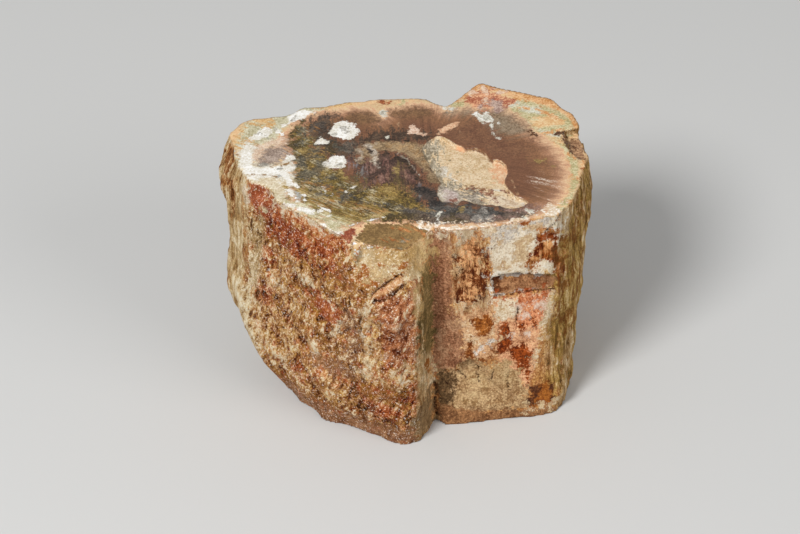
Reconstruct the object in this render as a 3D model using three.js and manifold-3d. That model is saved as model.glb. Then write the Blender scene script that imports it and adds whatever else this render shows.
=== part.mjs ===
// A hand-sized block of petrified wood, one piece of stone, sawn and polished on top and broken or weathered on
// every other side. Millimetres, +Z up, origin on the surface it rests on, under the middle of the block.
import * as THREE from "three";
import { mergeVertices } from "three/addons/utils/BufferGeometryUtils.js";
import Module from "manifold-3d";

const wasm = await Module();
wasm.setup();

// Driving dimensions
const HEIGHT = 47; // rest face to polished face
const MIDDLE = { x: 1.67, y: 1.04 }; // middle of the block, in the plan that the ridges are drawn in
const OVERRUN = 3; // how far the rough block runs past both flat cuts
const COLUMNS = 140; // facets round the block, a multiple of 4
const ROWS = 29; // facets up the block
const CUTTER = 120; // side of the boxes that stand for flat cuts
const REACH = 12; // how far an outline is carried in and out of its face
const WELD = 1e-4; // points closer than this are one point
const BALL_DETAIL = 6; // how finely a scoop is faceted

// The block's upright ridges and the lines between them, from the foot up, each point as [x, y, z].
// They run anticlockwise as seen from above, from the left end round the front, the right end and the back.
const RIDGES = {
  leftCorner: [[-23.0, -7.6, 0], [-29.4, -5.6, 7], [-31.4, -4.4, 13], [-30.8, -1.8, 23], [-29.8, -0.6, 34],
    [-29.5, 0.2, HEIGHT]],
  leftFaceOuter: [[-21.0, -11.0, 0], [-24.4, -10.6, 9], [-24.8, -9.4, 22], [-22.9, -8.3, HEIGHT]],
  leftFaceInner: [[-16.4, -17.2, 0], [-17.4, -17.2, 10], [-17.8, -16.2, 24], [-16.6, -14.2, HEIGHT]],
  blockLeft: [[-9.0, -20.6, 0], [-8.8, -23.2, 9], [-9.0, -22.8, 22], [-10.6, -21.0, 36],
    [-11.6, -18.8, HEIGHT]],
  blockNose: [[-0.3, -26.7, 0], [-0.6, -27.4, 10], [-1.4, -26.8, 20], [-2.0, -26.0, 34],
    [-2.2, -24.6, HEIGHT]],
  blockFlank: [[3.0, -25.2, 0], [2.9, -24.8, 10], [2.6, -24.2, 20], [4.4, -23.2, 33], [4.6, -19.8, HEIGHT]],
  channel: [[5.8, -18.2, 0], [5.9, -18.2, 10], [5.8, -18.2, 24], [6.2, -18.0, 36], [6.4, -17.6, HEIGHT]],
  shoulder: [[8.4, -21.0, 0], [9.4, -19.8, 14], [9.8, -19.8, 26], [9.6, -19.0, HEIGHT]],
  rightBlockStart: [[17.0, -19.4, 0], [17.2, -19.2, 24], [16.8, -18.4, HEIGHT]],
  rightBlockEdge: [[24.6, -18.8, 0], [24.8, -17.8, 7], [26.6, -17.2, 17], [29.2, -16.2, 27],
    [31.2, -15.0, 34], [31.3, -14.6, HEIGHT]],
  rightFoot: [[30.0, -17.6, 0], [30.4, -15.4, 9], [31.4, -13.6, 20], [33.2, -12.0, 32],
    [33.5, -11.6, HEIGHT]],
  rightFront: [[31.8, -11.2, 0], [32.9, -10.0, 10], [34.9, -7.6, 30], [35.0, -7.8, HEIGHT]],
  rightEnd: [[33.2, -1.0, 0], [34.5, 0.0, 8], [35.5, 1.0, 18], [36.4, 2.0, 30], [37.9, 3.8, 39],
    [36.8, 2.6, HEIGHT]],
  rightBack: [[31.6, 11.0, 0], [34.6, 12.4, 14], [36.6, 13.2, 38], [36.6, 15.4, HEIGHT]],
  backRight: [[27.0, 18.6, 0], [30.6, 20.2, 16], [31.8, 21.6, 36], [31.6, 23.0, HEIGHT]],
  backBulge: [[16.0, 22.4, 0], [17.4, 25.4, 18], [17.6, 27.4, 36], [16.9, 29.8, HEIGHT]],
  backDip: [[8.6, 20.0, 0], [10.6, 22.0, 20], [11.2, 22.4, 36], [11.0, 21.6, HEIGHT]],
  backStep: [[3.6, 20.8, 0], [5.0, 23.4, 20], [5.6, 24.0, 36], [6.2, 24.4, HEIGHT]],
  backMiddle: [[-7.0, 20.4, 0], [-8.0, 24.2, 20], [-8.4, 25.2, 38], [-8.4, 24.9, HEIGHT]],
  backLeft: [[-14.6, 17.4, 0], [-17.2, 22.0, 18], [-18.6, 23.8, 38], [-18.4, 23.0, HEIGHT]],
  leftStep: [[-18.6, 14.6, 0], [-21.8, 18.6, 14], [-22.6, 20.4, 34], [-22.0, 19.8, HEIGHT]],
  leftBack: [[-22.4, 11.0, 0], [-27.0, 16.4, 14], [-28.6, 19.4, 34], [-26.8, 20.0, HEIGHT]],
  leftEnd: [[-24.6, 3.6, 0], [-31.2, 8.0, 13], [-33.8, 11.6, 24], [-34.5, 14.0, 42], [-31.8, 15.4, HEIGHT]],
  leftWall: [[-24.0, -3.0, 0], [-30.8, 0.4, 9], [-33.0, 2.2, 15], [-34.0, 4.2, 24], [-33.0, 4.6, 31],
    [-34.3, 7.8, 42], [-31.0, 8.4, HEIGHT]],
};

// Relief: lumps, knobs and upright grain, each with its size along x, y and z, a shift that sets its noise
// apart, its height, and the share of it that the pitted break, the smooth split faces and the bark have
const RELIEF = [
  { size: [9, 9, 9], shift: [3, 0, 0], height: 0.9, pitted: 0.7, smooth: 0.25, bark: 0.7 },
  { size: [3.6, 3.6, 3.6], shift: [0, 7, 0], height: 0.55, pitted: 1, smooth: 0.25, bark: 0.5 },
  { size: [2.9, 2.9, 21], shift: [0, 0, 5], height: 0.55, pitted: 0, smooth: 0, bark: 1 },
];
const PITTED = { from: -152, to: -88 }; // degrees round the block: the pitted break on the front left
const SMOOTH = { from: -78, to: -30 }; // degrees: the smooth split faces on the front right
const ZONE_BLEND = 3; // degrees

// The faces that pieces have broken out of
const TOP = {
  corner: new THREE.Vector3(0, 0, HEIGHT),
  along: new THREE.Vector3(1, 0, 0),
  up: new THREE.Vector3(0, 1, 0),
};
const BLOCK_FRONT = wall([-7.5, -24.3], [3.4, -25.3]);
const UNDER_SHOULDER = wall([6.2, -19.6], [24.5, -17.6]);
const RIGHT_BLOCK = wall([17.0, -18.9], [29.4, -15.9]);
const BACK = wall([11.0, 22.6], [-16.0, 23.8]);

// The breaks. An outline runs along and up its face from the face's corner, and the broken floor inside it is
// flat: it lies depth below the face at the outline's first point, and goes down by slope for each millimetre
// along and up.
const BREAKS = {
  lensBevel: {
    face: TOP, depth: 0, slope: [0, -0.25],
    outline: [[-5.9, -15.8], [6.3, -15.8], [6.3, -30], [-14, -30], [-8.6, -19.8]],
  },
  redWedge: {
    face: TOP, depth: 0, slope: [0.41, -0.69],
    outline: [[-11.6, -19.0], [-5.9, -15.6], [-8.6, -19.8], [-14, -30], [-20, -24]],
  },
  topChip: {
    face: TOP, depth: 0.3, slope: [0.028, 0.022],
    outline: [[8.6, -10.0], [10.5, -10.3], [11.8, -10.5], [12.7, -9.5], [15.5, -11.0], [19.5, -11.7],
      [24.5, -11.8], [21.6, -8.5], [20.4, -4.4], [21.2, -1.0], [19.7, 3.2], [18.5, 3.1], [16.5, 6.7],
      [15.1, 7.9], [14.0, 6.8], [12.3, 8.1], [9.4, 11.0], [7.1, 10.3], [5.2, 7.6], [6.5, 2.1], [8.4, -3.6],
      [7.7, -5.5]],
  },
  rimNotch: {
    face: TOP, depth: 1.2, slope: [0.15, 0],
    outline: [[33.2, 9.8], [33.8, 5.2], [35.6, 2.2], [42, 1], [42, 14], [35.4, 12.4], [33.0, 11.4]],
  },
  blockFacet: {
    face: BLOCK_FRONT, depth: 4.0, slope: [-0.137, 0.332],
    outline: [[-0.1, 45.9], [-4, 49], [13, 49], [13, 31], [-4, 31]],
  },
  diagonalLedge: {
    face: BLOCK_FRONT, depth: 1.2, slope: [-0.35, 0.58],
    outline: [[2.0, 36.1], [7.4, 41.0], [8.6, 40.4], [11.5, 38.5], [10, 31], [2.3, 31]],
  },
  blockStep: {
    face: BLOCK_FRONT, depth: -0.9, slope: [0, 0.1],
    outline: [[-1.0, 16.6], [3.0, 17.4], [4.5, 15.2], [7.0, 14.4], [10.0, 14.2], [11.6, 13.4], [11.6, 2],
      [-1, 2]],
  },
  ledgeRecess: {
    face: RIGHT_BLOCK, depth: 0.2, slope: [0, 0.38],
    outline: [[1.2, 30.6], [5.9, 30.3], [9.9, 30.0], [12.4, 29.5], [13.5, 30.0], [13.2, 32.0], [10.8, 33.2],
      [6.4, 34.9], [3.0, 35.3], [0, 35.4]],
  },
  underShoulder: {
    face: UNDER_SHOULDER, depth: 1.1, slope: [-0.06, 0.15],
    outline: [[-0.4, 12.0], [1.8, 13.2], [3.9, 13.4], [4.1, 15.1], [6.8, 15.6], [9.8, 12.2], [12.4, 7.3],
      [15, 2], [15, -1], [-0.4, -1]],
  },
  backScar: {
    face: BACK, depth: 2.4, slope: [0, 0.06],
    outline: [[3, 14], [6, 19], [11, 17.5], [16, 21], [21, 15], [22.5, 6], [21, -1], [3.5, -1]],
  },
};

// Round scoops at [x, y, z]
const SCOOPS = [
  { centre: [-28.5, -6.55, 46.6], radius: 5.0 },
  { centre: [-28.6, 38.4, 27.0], radius: 20.0 },
];

function wall(from, to) {
  const corner = new THREE.Vector3(...from, 0);
  const along = new THREE.Vector3(...to, 0).sub(corner).normalize();
  return { corner, along, up: new THREE.Vector3(0, 0, 1) };
}

// Repeatable noise from -1 to 1
const fract = (v) => v - Math.floor(v);
const cornerValue = (i, j, k) => fract(Math.sin(i * 127.1 + j * 311.7 + k * 74.7) * 43758.5453);
const ease = (t) => t * t * (3 - 2 * t);
const mix = THREE.MathUtils.lerp;

function noise(x, y, z) {
  const [i, j, k] = [x, y, z].map(Math.floor);
  const [u, v, w] = [x - i, y - j, z - k].map(ease);
  const layer = (dk) =>
    mix(
      mix(cornerValue(i, j, k + dk), cornerValue(i + 1, j, k + dk), u),
      mix(cornerValue(i, j + 1, k + dk), cornerValue(i + 1, j + 1, k + dk), u),
      v,
    );
  return 2 * mix(layer(0), layer(1), w) - 1;
}

// The loft through the ridges, as a table of radii by height and direction
const TURN = 720; // directions in the table
const ROUNDING = 3; // how many passes soften the ridges
const JUST_UNDER_TOP = HEIGHT - 1e-6; // the highest level that still has a row of the table above it

function alongRidge(ridge, z) {
  const last = ridge.length - 1;
  let n = 0;
  while (n < last - 1 && ridge[n + 1][2] < z) n += 1;
  const [a, b] = [ridge[n], ridge[n + 1]];
  const t = (z - a[2]) / (b[2] - a[2]);
  return new THREE.Vector2(mix(a[0], b[0], t), mix(a[1], b[1], t));
}

function outlineRadii(z) {
  const corners = Object.values(RIDGES).map((ridge) => alongRidge(ridge, z));
  const radii = new Array(TURN).fill(0);
  for (let d = 0; d < TURN; d += 1) {
    const angle = (2 * Math.PI * d) / TURN;
    const ray = new THREE.Vector2(Math.cos(angle), Math.sin(angle));
    corners.forEach((a, n) => {
      const edge = corners[(n + 1) % corners.length].clone().sub(a);
      const across = ray.cross(edge);
      const reach = a.cross(edge) / across;
      const share = a.cross(ray) / across;
      if (reach > 0 && share >= 0 && share <= 1) radii[d] = reach;
    });
  }
  return radii;
}

function softened(rows) {
  const at = (r, d) => rows[THREE.MathUtils.clamp(r, 0, rows.length - 1)][(d + TURN) % TURN];
  return rows.map((row, r) =>
    row.map((own, d) => (2 * own + at(r - 1, d) + at(r + 1, d) + at(r, d - 2) + at(r, d + 2)) / 6),
  );
}

let radiusTable = Array.from({ length: HEIGHT + 1 }, (_, z) => outlineRadii(z));
for (let pass = 0; pass < ROUNDING; pass += 1) radiusTable = softened(radiusTable);

function loftRadius(angle, z) {
  const level = THREE.MathUtils.clamp(z, 0, JUST_UNDER_TOP);
  const row = Math.floor(level);
  const turn = (THREE.MathUtils.euclideanModulo(angle, 2 * Math.PI) / (2 * Math.PI)) * TURN;
  const d = Math.floor(turn) % TURN;
  const e = (d + 1) % TURN;
  const share = turn - Math.floor(turn);
  const low = mix(radiusTable[row][d], radiusTable[row][e], share);
  const high = mix(radiusTable[row + 1][d], radiusTable[row + 1][e], share);
  return mix(low, high, level - row);
}

// 1 within a zone of directions and 0 outside it, with a soft step at its ends
function between(degrees, zone) {
  const inside = Math.min(degrees - zone.from, zone.to - degrees);
  return THREE.MathUtils.smoothstep(inside, -ZONE_BLEND, ZONE_BLEND);
}

// How far the surface stands out of the loft
function relief(x, y, z) {
  const degrees = THREE.MathUtils.radToDeg(Math.atan2(y, x));
  const pitted = between(degrees, PITTED);
  const smooth = between(degrees, SMOOTH);
  const bark = (1 - pitted) * (1 - smooth);
  let out = 0;
  for (const kind of RELIEF) {
    const [i, j, k] = [x, y, z].map((along, n) => along / kind.size[n] + kind.shift[n]);
    const share = kind.pitted * pitted + kind.smooth * smooth + kind.bark * bark;
    out += kind.height * share * noise(i, j, k);
  }
  return out;
}

// Columns stand at even distances round the block, not at even angles
function columnAngles() {
  const middle = Math.round(HEIGHT / 2);
  const points = Array.from({ length: TURN + 1 }, (_, d) => {
    const angle = (2 * Math.PI * d) / TURN - Math.PI;
    return new THREE.Vector2(Math.cos(angle), Math.sin(angle)).multiplyScalar(loftRadius(angle, middle));
  });
  const travelled = [0];
  for (let d = 1; d <= TURN; d += 1) travelled.push(travelled[d - 1] + points[d].distanceTo(points[d - 1]));
  return Array.from({ length: COLUMNS + 1 }, (_, c) => {
    const wanted = (travelled[TURN] * c) / COLUMNS;
    let d = 0;
    while (d < TURN - 1 && travelled[d + 1] < wanted) d += 1;
    const share = (wanted - travelled[d]) / (travelled[d + 1] - travelled[d]);
    return (2 * Math.PI * (d + share)) / TURN - Math.PI;
  });
}

// Solids
function toSolid(geometry) {
  const bare = geometry.clone();
  bare.deleteAttribute("normal");
  bare.deleteAttribute("uv");
  const merged = mergeVertices(bare, WELD);
  return new wasm.Manifold(
    new wasm.Mesh({
      numProp: 3,
      vertProperties: new Float32Array(merged.attributes.position.array),
      triVerts: new Uint32Array(merged.index.array),
    }),
  );
}

function toGeometry(solid) {
  const mesh = solid.getMesh();
  const geometry = new THREE.BufferGeometry();
  geometry.setAttribute("position", new THREE.BufferAttribute(new Float32Array(mesh.vertProperties), 3));
  geometry.setIndex(new THREE.BufferAttribute(new Uint32Array(mesh.triVerts), 1));
  geometry.computeVertexNormals();
  return geometry;
}

function roughBlock() {
  const tall = HEIGHT + 2 * OVERRUN;
  const geometry = new THREE.CylinderGeometry(1, 1, tall, COLUMNS, ROWS);
  geometry.rotateX(Math.PI / 2);
  geometry.translate(0, 0, HEIGHT / 2);
  const angles = columnAngles();
  const position = geometry.attributes.position;
  for (let n = 0; n < position.count; n += 1) {
    const [x, y, z] = [position.getX(n), position.getY(n), position.getZ(n)];
    const turn = (Math.atan2(y, x) + Math.PI) / (2 * Math.PI);
    const angle = angles[Math.round(turn * COLUMNS)];
    const share = Math.round(Math.hypot(x, y)); // 1 on the wall, 0 at the middle of either end
    const wallReach = loftRadius(angle, z);
    const out = relief(wallReach * Math.cos(angle), wallReach * Math.sin(angle), z);
    const reach = share * (wallReach + out);
    position.setXYZ(n, reach * Math.cos(angle), reach * Math.sin(angle), z);
  }
  return toSolid(geometry);
}

// A box that fills the side of a plane that its normal points to
function slab(point, normal) {
  const box = new THREE.BoxGeometry(CUTTER, CUTTER, CUTTER);
  box.translate(0, 0, CUTTER / 2);
  const up = new THREE.Vector3(0, 0, 1);
  box.applyQuaternion(new THREE.Quaternion().setFromUnitVectors(up, normal.normalize()));
  box.translate(...point);
  return box;
}

// What a break takes away: its outline carried through its face, as far down as its floor
function broken({ face, depth, slope, outline }) {
  const shape = new THREE.Shape(outline.map((point) => new THREE.Vector2(...point)));
  const column = new THREE.ExtrudeGeometry(shape, { depth: 2 * REACH, bevelEnabled: false });
  column.translate(0, 0, -REACH);
  const aboveFloor = slab([...outline[0], -depth], new THREE.Vector3(...slope, 1));
  const out = new THREE.Vector3().crossVectors(face.along, face.up);
  const place = new THREE.Matrix4().makeBasis(face.along, face.up, out).setPosition(face.corner);
  return toSolid(column.applyMatrix4(place)).intersect(toSolid(aboveFloor.applyMatrix4(place)));
}

function scooped({ centre, radius }) {
  const ball = new THREE.IcosahedronGeometry(radius, BALL_DETAIL);
  ball.translate(...centre);
  return toSolid(ball);
}

// The block: lofted rough, sawn flat above and below, then broken
let block = roughBlock();
block = block.subtract(toSolid(slab([0, 0, HEIGHT], new THREE.Vector3(0, 0, 1))));
block = block.subtract(toSolid(slab([0, 0, 0], new THREE.Vector3(0, 0, -1))));
for (const piece of Object.values(BREAKS)) block = block.subtract(broken(piece));
for (const scoop of SCOOPS) block = block.subtract(scooped(scoop));

const geometry = toGeometry(block);
geometry.translate(-MIDDLE.x, -MIDDLE.y, 0);
const stone = new THREE.Mesh(
  geometry,
  new THREE.MeshStandardMaterial({ color: 0xb08a62, roughness: 0.85, metalness: 0 }),
);
stone.name = "petrified_wood";

const root = new THREE.Group();
root.add(stone);
export default root;
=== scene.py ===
import math

import bpy
import numpy as np
from mathutils import Matrix, Vector


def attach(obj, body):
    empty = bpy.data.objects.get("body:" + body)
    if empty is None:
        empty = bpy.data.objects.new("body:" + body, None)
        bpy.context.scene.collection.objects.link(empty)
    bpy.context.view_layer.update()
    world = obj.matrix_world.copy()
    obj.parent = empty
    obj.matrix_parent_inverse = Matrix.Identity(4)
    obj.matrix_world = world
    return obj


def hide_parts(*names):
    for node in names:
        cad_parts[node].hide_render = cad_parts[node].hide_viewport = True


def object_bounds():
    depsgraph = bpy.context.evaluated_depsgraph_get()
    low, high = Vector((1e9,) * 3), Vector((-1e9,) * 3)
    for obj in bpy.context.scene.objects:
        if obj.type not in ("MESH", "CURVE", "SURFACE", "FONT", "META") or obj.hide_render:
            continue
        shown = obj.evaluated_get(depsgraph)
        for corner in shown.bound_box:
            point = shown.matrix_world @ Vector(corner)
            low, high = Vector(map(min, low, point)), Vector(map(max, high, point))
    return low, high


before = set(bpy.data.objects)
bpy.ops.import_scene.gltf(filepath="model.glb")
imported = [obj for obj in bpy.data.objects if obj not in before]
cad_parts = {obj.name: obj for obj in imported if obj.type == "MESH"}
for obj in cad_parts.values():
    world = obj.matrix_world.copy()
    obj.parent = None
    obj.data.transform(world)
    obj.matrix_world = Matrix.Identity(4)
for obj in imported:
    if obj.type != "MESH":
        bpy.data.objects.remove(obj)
cad_low, cad_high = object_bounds()

# The stone's form
# One block of petrified wood: sawn and polished on top, level below, and broken or weathered on its other
# sides. It is lofted through its upright ridges, and its broken places are cut out of it. All sizes here are
# millimetres.
HEIGHT = 47.0  # rest face to polished face
MIDDLE = np.array([1.67, 1.04, 0.0])  # middle of the block, in the plan that the ridges are drawn in
HAIR = 1e-6  # next to nothing
MILLIMETRES = 1000  # in a metre
REACH = 12.0  # how far an outline is carried in and out of its face

# Upright ridges from the foot up, each point as [x, y, z], anticlockwise as seen from above
RIDGES = {
    "left_corner": [[-23, -7.6, 0], [-29.4, -5.6, 7], [-31.4, -4.4, 13], [-30.8, -1.8, 23],
        [-29.8, -0.6, 34], [-29.5, 0.2, HEIGHT]],
    "left_face_outer": [[-21, -11, 0], [-24.4, -10.6, 9], [-24.8, -9.4, 22], [-22.9, -8.3, HEIGHT]],
    "left_face_inner": [[-16.4, -17.2, 0], [-17.4, -17.2, 10], [-17.8, -16.2, 24], [-16.6, -14.2, HEIGHT]],
    "block_left": [[-9, -20.6, 0], [-8.8, -23.2, 9], [-9, -22.8, 22], [-10.6, -21, 36],
        [-11.6, -18.8, HEIGHT]],
    "block_nose": [[-0.3, -26.7, 0], [-0.6, -27.4, 10], [-1.4, -26.8, 20], [-2, -26, 34],
        [-2.2, -24.6, HEIGHT]],
    "block_flank": [[3, -25.2, 0], [2.9, -24.8, 10], [2.6, -24.2, 20], [4.4, -23.2, 33],
        [4.6, -19.8, HEIGHT]],
    "channel": [[5.8, -18.2, 0], [5.9, -18.2, 10], [5.8, -18.2, 24], [6.2, -18, 36], [6.4, -17.6, HEIGHT]],
    "shoulder": [[8.4, -21, 0], [9.4, -19.8, 14], [9.8, -19.8, 26], [9.6, -19, HEIGHT]],
    "right_block_start": [[17, -19.4, 0], [17.2, -19.2, 24], [16.8, -18.4, HEIGHT]],
    "right_block_edge": [[24.6, -18.8, 0], [24.8, -17.8, 7], [26.6, -17.2, 17], [29.2, -16.2, 27],
        [31.2, -15, 34], [31.3, -14.6, HEIGHT]],
    "right_foot": [[30, -17.6, 0], [30.4, -15.4, 9], [31.4, -13.6, 20], [33.2, -12, 32],
        [33.5, -11.6, HEIGHT]],
    "right_front": [[31.8, -11.2, 0], [32.9, -10, 10], [34.9, -7.6, 30], [35, -7.8, HEIGHT]],
    "right_end": [[33.2, -1, 0], [34.5, 0, 8], [35.5, 1, 18], [36.4, 2, 30], [37.9, 3.8, 39],
        [36.8, 2.6, HEIGHT]],
    "right_back": [[31.6, 11, 0], [34.6, 12.4, 14], [36.6, 13.2, 38], [36.6, 15.4, HEIGHT]],
    "back_right": [[27, 18.6, 0], [30.6, 20.2, 16], [31.8, 21.6, 36], [31.6, 23, HEIGHT]],
    "back_bulge": [[16, 22.4, 0], [17.4, 25.4, 18], [17.6, 27.4, 36], [16.9, 29.8, HEIGHT]],
    "back_dip": [[8.6, 20, 0], [10.6, 22, 20], [11.2, 22.4, 36], [11, 21.6, HEIGHT]],
    "back_step": [[3.6, 20.8, 0], [5, 23.4, 20], [5.6, 24, 36], [6.2, 24.4, HEIGHT]],
    "back_middle": [[-7, 20.4, 0], [-8, 24.2, 20], [-8.4, 25.2, 38], [-8.4, 24.9, HEIGHT]],
    "back_left": [[-14.6, 17.4, 0], [-17.2, 22, 18], [-18.6, 23.8, 38], [-18.4, 23, HEIGHT]],
    "left_step": [[-18.6, 14.6, 0], [-21.8, 18.6, 14], [-22.6, 20.4, 34], [-22, 19.8, HEIGHT]],
    "left_back": [[-22.4, 11, 0], [-27, 16.4, 14], [-28.6, 19.4, 34], [-26.8, 20, HEIGHT]],
    "left_end": [[-24.6, 3.6, 0], [-31.2, 8, 13], [-33.8, 11.6, 24], [-34.5, 14, 42],
        [-31.8, 15.4, HEIGHT]],
    "left_wall": [[-24, -3, 0], [-30.8, 0.4, 9], [-33, 2.2, 15], [-34, 4.2, 24], [-33, 4.6, 31],
        [-34.3, 7.8, 42], [-31, 8.4, HEIGHT]],
}

# Coarse relief, the same as the solid's: lumps, knobs and upright grain, each with its size along x, y and
# z, a shift that sets its noise apart, its height, and its share on the pitted break, the smooth split faces
# and the bark
RELIEF = [
    {"size": [9, 9, 9], "shift": [3, 0, 0], "height": 0.9, "pitted": 0.7, "smooth": 0.25, "bark": 0.7},
    {"size": [3.6, 3.6, 3.6], "shift": [0, 7, 0], "height": 0.55, "pitted": 1, "smooth": 0.25, "bark": 0.5},
    {"size": [2.9, 2.9, 21], "shift": [0, 0, 5], "height": 0.55, "pitted": 0, "smooth": 0, "bark": 1},
]
PITTED = (-152, -88)  # degrees round the block: the pitted break on the front left
SMOOTH = (-78, -30)  # degrees: the smooth split faces on the front right
ZONE_BLEND = 3  # degrees


def upright_face(start, end):
    """A face that stands upright through two points of the plan."""
    along = np.array([end[0] - start[0], end[1] - start[1], 0.0])
    along = along / np.linalg.norm(along)
    return {"corner": np.array([*start, 0.0]), "along": along, "up": np.array([0.0, 0.0, 1.0])}


TOP = {"corner": np.array([0, 0, HEIGHT]), "along": np.array([1.0, 0, 0]), "up": np.array([0, 1.0, 0])}
BLOCK_FRONT = upright_face([-7.5, -24.3], [3.4, -25.3])
UNDER_SHOULDER = upright_face([6.2, -19.6], [24.5, -17.6])
RIGHT_BLOCK = upright_face([17.0, -18.9], [29.4, -15.9])
BACK = upright_face([11.0, 22.6], [-16.0, 23.8])

# Where pieces have broken out: the face, the floor's depth below it at the outline's first point, how much
# deeper the floor gets for each millimetre along and up, and the outline along and up the face
BREAKS = {
    "lens_bevel": (TOP, 0, [0, -0.25], [[-5.9, -15.8], [6.3, -15.8], [6.3, -30], [-14, -30],
        [-8.6, -19.8]]),
    "red_wedge": (TOP, 0, [0.41, -0.69], [[-11.6, -19], [-5.9, -15.6], [-8.6, -19.8], [-14, -30],
        [-20, -24]]),
    "top_chip": (TOP, 0.3, [0.028, 0.022], [[8.4, -9.6], [9.6, -9.9], [10.8, -10.3], [11.2, -11.2],
        [11.7, -10.2], [12.2, -9.6], [13.2, -9.7], [14.2, -10.6], [15.6, -11.2], [17.6, -11.4],
        [19.4, -11.6], [20.6, -12.6], [22, -12.9], [23.6, -12.2], [24.7, -10.8], [24, -9.8], [22.4, -8.8],
        [21.2, -6.8], [20.5, -4.4], [20.9, -2.4], [21.3, -0.6], [21.1, 1.2], [20.3, 2.6], [19.4, 3.2],
        [18.5, 3], [17.9, 3.7], [17.4, 5.2], [16.6, 6.4], [15.4, 7.3], [14.6, 7], [13.8, 6.9], [12.8, 7.9],
        [11.8, 8.5], [10.6, 10.1], [9.4, 11.2], [8.2, 11.7], [7.1, 10.6], [6, 9.4], [5.1, 7.6], [5.6, 4.6],
        [6.4, 2], [7.4, -0.6], [8.5, -3.6], [7.9, -5], [7.6, -7.4], [7.9, -8.8]]),
    "rim_notch": (TOP, 1.2, [0.15, 0], [[33.2, 9.8], [33.8, 5.2], [35.6, 2.2], [42, 1], [42, 14],
        [35.4, 12.4], [33, 11.4]]),
    "block_facet": (BLOCK_FRONT, 4, [-0.137, 0.332], [[-0.1, 45.9], [-4, 49], [13, 49], [13, 31],
        [-4, 31]]),
    "diagonal_ledge": (BLOCK_FRONT, 1.2, [-0.35, 0.58], [[2, 36.1], [7.4, 41], [8.6, 40.4], [11.5, 38.5],
        [10, 31], [2.3, 31]]),
    "block_step": (BLOCK_FRONT, -0.9, [0, 0.1], [[-1, 16.6], [3, 17.4], [4.5, 15.2], [7, 14.4], [10, 14.2],
        [11.6, 13.4], [11.6, 2], [-1, 2]]),
    "ledge_recess": (RIGHT_BLOCK, 0.2, [0, 0.38], [[1.2, 30.6], [5.9, 30.3], [9.9, 30], [12.4, 29.5],
        [13.5, 30], [13.2, 32], [10.8, 33.2], [6.4, 34.9], [3, 35.3], [0, 35.4]]),
    "under_shoulder": (UNDER_SHOULDER, 1.1, [-0.06, 0.15], [[-0.4, 12], [1.8, 13.2], [3.9, 13.4],
        [4.1, 15.1], [6.8, 15.6], [9.8, 12.2], [12.4, 7.3], [15, 2], [15, -1], [-0.4, -1]]),
    "back_scar": (BACK, 2.4, [0, 0.06], [[3, 14], [6, 19], [11, 17.5], [16, 21], [21, 15], [22.5, 6],
        [21, -1], [3.5, -1]]),
}

# Round scoops as [x, y, z] and radius
SCOOPS = [([-28.5, -6.55, 46.6], 5.0), ([-28.6, 38.4, 27.0], 20.0)]


# Large numbers without a common measure, which make neighbouring corners' values unlike each other
ALONG_X, ALONG_Y, ALONG_Z, SPREAD = 127.1, 311.7, 74.7, 43758.5453


def corner_value(i, j, k):
    """A repeatable value from 0 to 1 for each whole-number corner."""
    value = np.sin(i * ALONG_X + j * ALONG_Y + k * ALONG_Z) * SPREAD
    return value - np.floor(value)


def ease(t):
    """From 0 to 1 as t does, starting and ending level."""
    return t * t * (3 - 2 * t)


def step(value, low, high):
    """0 below low, 1 above high and eased between them."""
    return ease(np.clip((value - low) / (high - low), 0, 1))


def noise(x, y, z):
    """Repeatable noise from -1 to 1."""
    i, j, k = np.floor(x), np.floor(y), np.floor(z)
    u, v, w = ease(x - i), ease(y - j), ease(z - k)
    total = 0
    for di in (0, 1):
        for dj in (0, 1):
            for dk in (0, 1):
                share = np.abs(1 - di - u) * np.abs(1 - dj - v) * np.abs(1 - dk - w)
                total = total + share * corner_value(i + di, j + dj, k + dk)
    return 2 * total - 1


TURN = 720  # directions in the table of radii
ROUNDING = 3  # how many passes soften the ridges


def along_ridge(ridge, z):
    """A ridge's x and y at a height."""
    points = np.array(ridge, float)
    return [np.interp(z, points[:, 2], points[:, axis]) for axis in (0, 1)]


def outline_radii(z):
    """How far the outline at a height is from the middle, in each direction."""
    corners = np.array([along_ridge(ridge, z) for ridge in RIDGES.values()])
    edges = np.roll(corners, -1, axis=0) - corners
    angles = 2 * np.pi * np.arange(TURN) / TURN
    rays = np.stack([np.cos(angles), np.sin(angles)], 1)[:, None]
    across = rays[..., 0] * edges[:, 1] - rays[..., 1] * edges[:, 0]
    reach = (corners[:, 0] * edges[:, 1] - corners[:, 1] * edges[:, 0]) / across
    share = (corners[:, 0] * rays[..., 1] - corners[:, 1] * rays[..., 0]) / across
    return np.where((reach > 0) & (share >= 0) & (share <= 1), reach, 0).max(axis=1)


radii = np.array([outline_radii(z) for z in range(int(HEIGHT) + 1)])
for _ in range(ROUNDING):
    below = np.vstack([radii[:1], radii[:-1]])
    above = np.vstack([radii[1:], radii[-1:]])
    radii = (2 * radii + below + above + np.roll(radii, 2, axis=1) + np.roll(radii, -2, axis=1)) / 6


def loft_radius(angle, z):
    """How far the lofted side is from the middle, in a direction and at a height."""
    level = np.clip(z, 0, HEIGHT - HAIR)
    row = np.floor(level).astype(int)
    turn = np.mod(angle, 2 * np.pi) / (2 * np.pi) * TURN
    d = np.floor(turn).astype(int) % TURN
    share = turn - np.floor(turn)
    low = radii[row, d] * (1 - share) + radii[row, (d + 1) % TURN] * share
    high = radii[row + 1, d] * (1 - share) + radii[row + 1, (d + 1) % TURN] * share
    return low + (high - low) * (level - row)


def zone(degrees, ends):
    """1 between two directions and 0 outside them."""
    return step(np.minimum(degrees - ends[0], ends[1] - degrees), -ZONE_BLEND, ZONE_BLEND)


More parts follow.
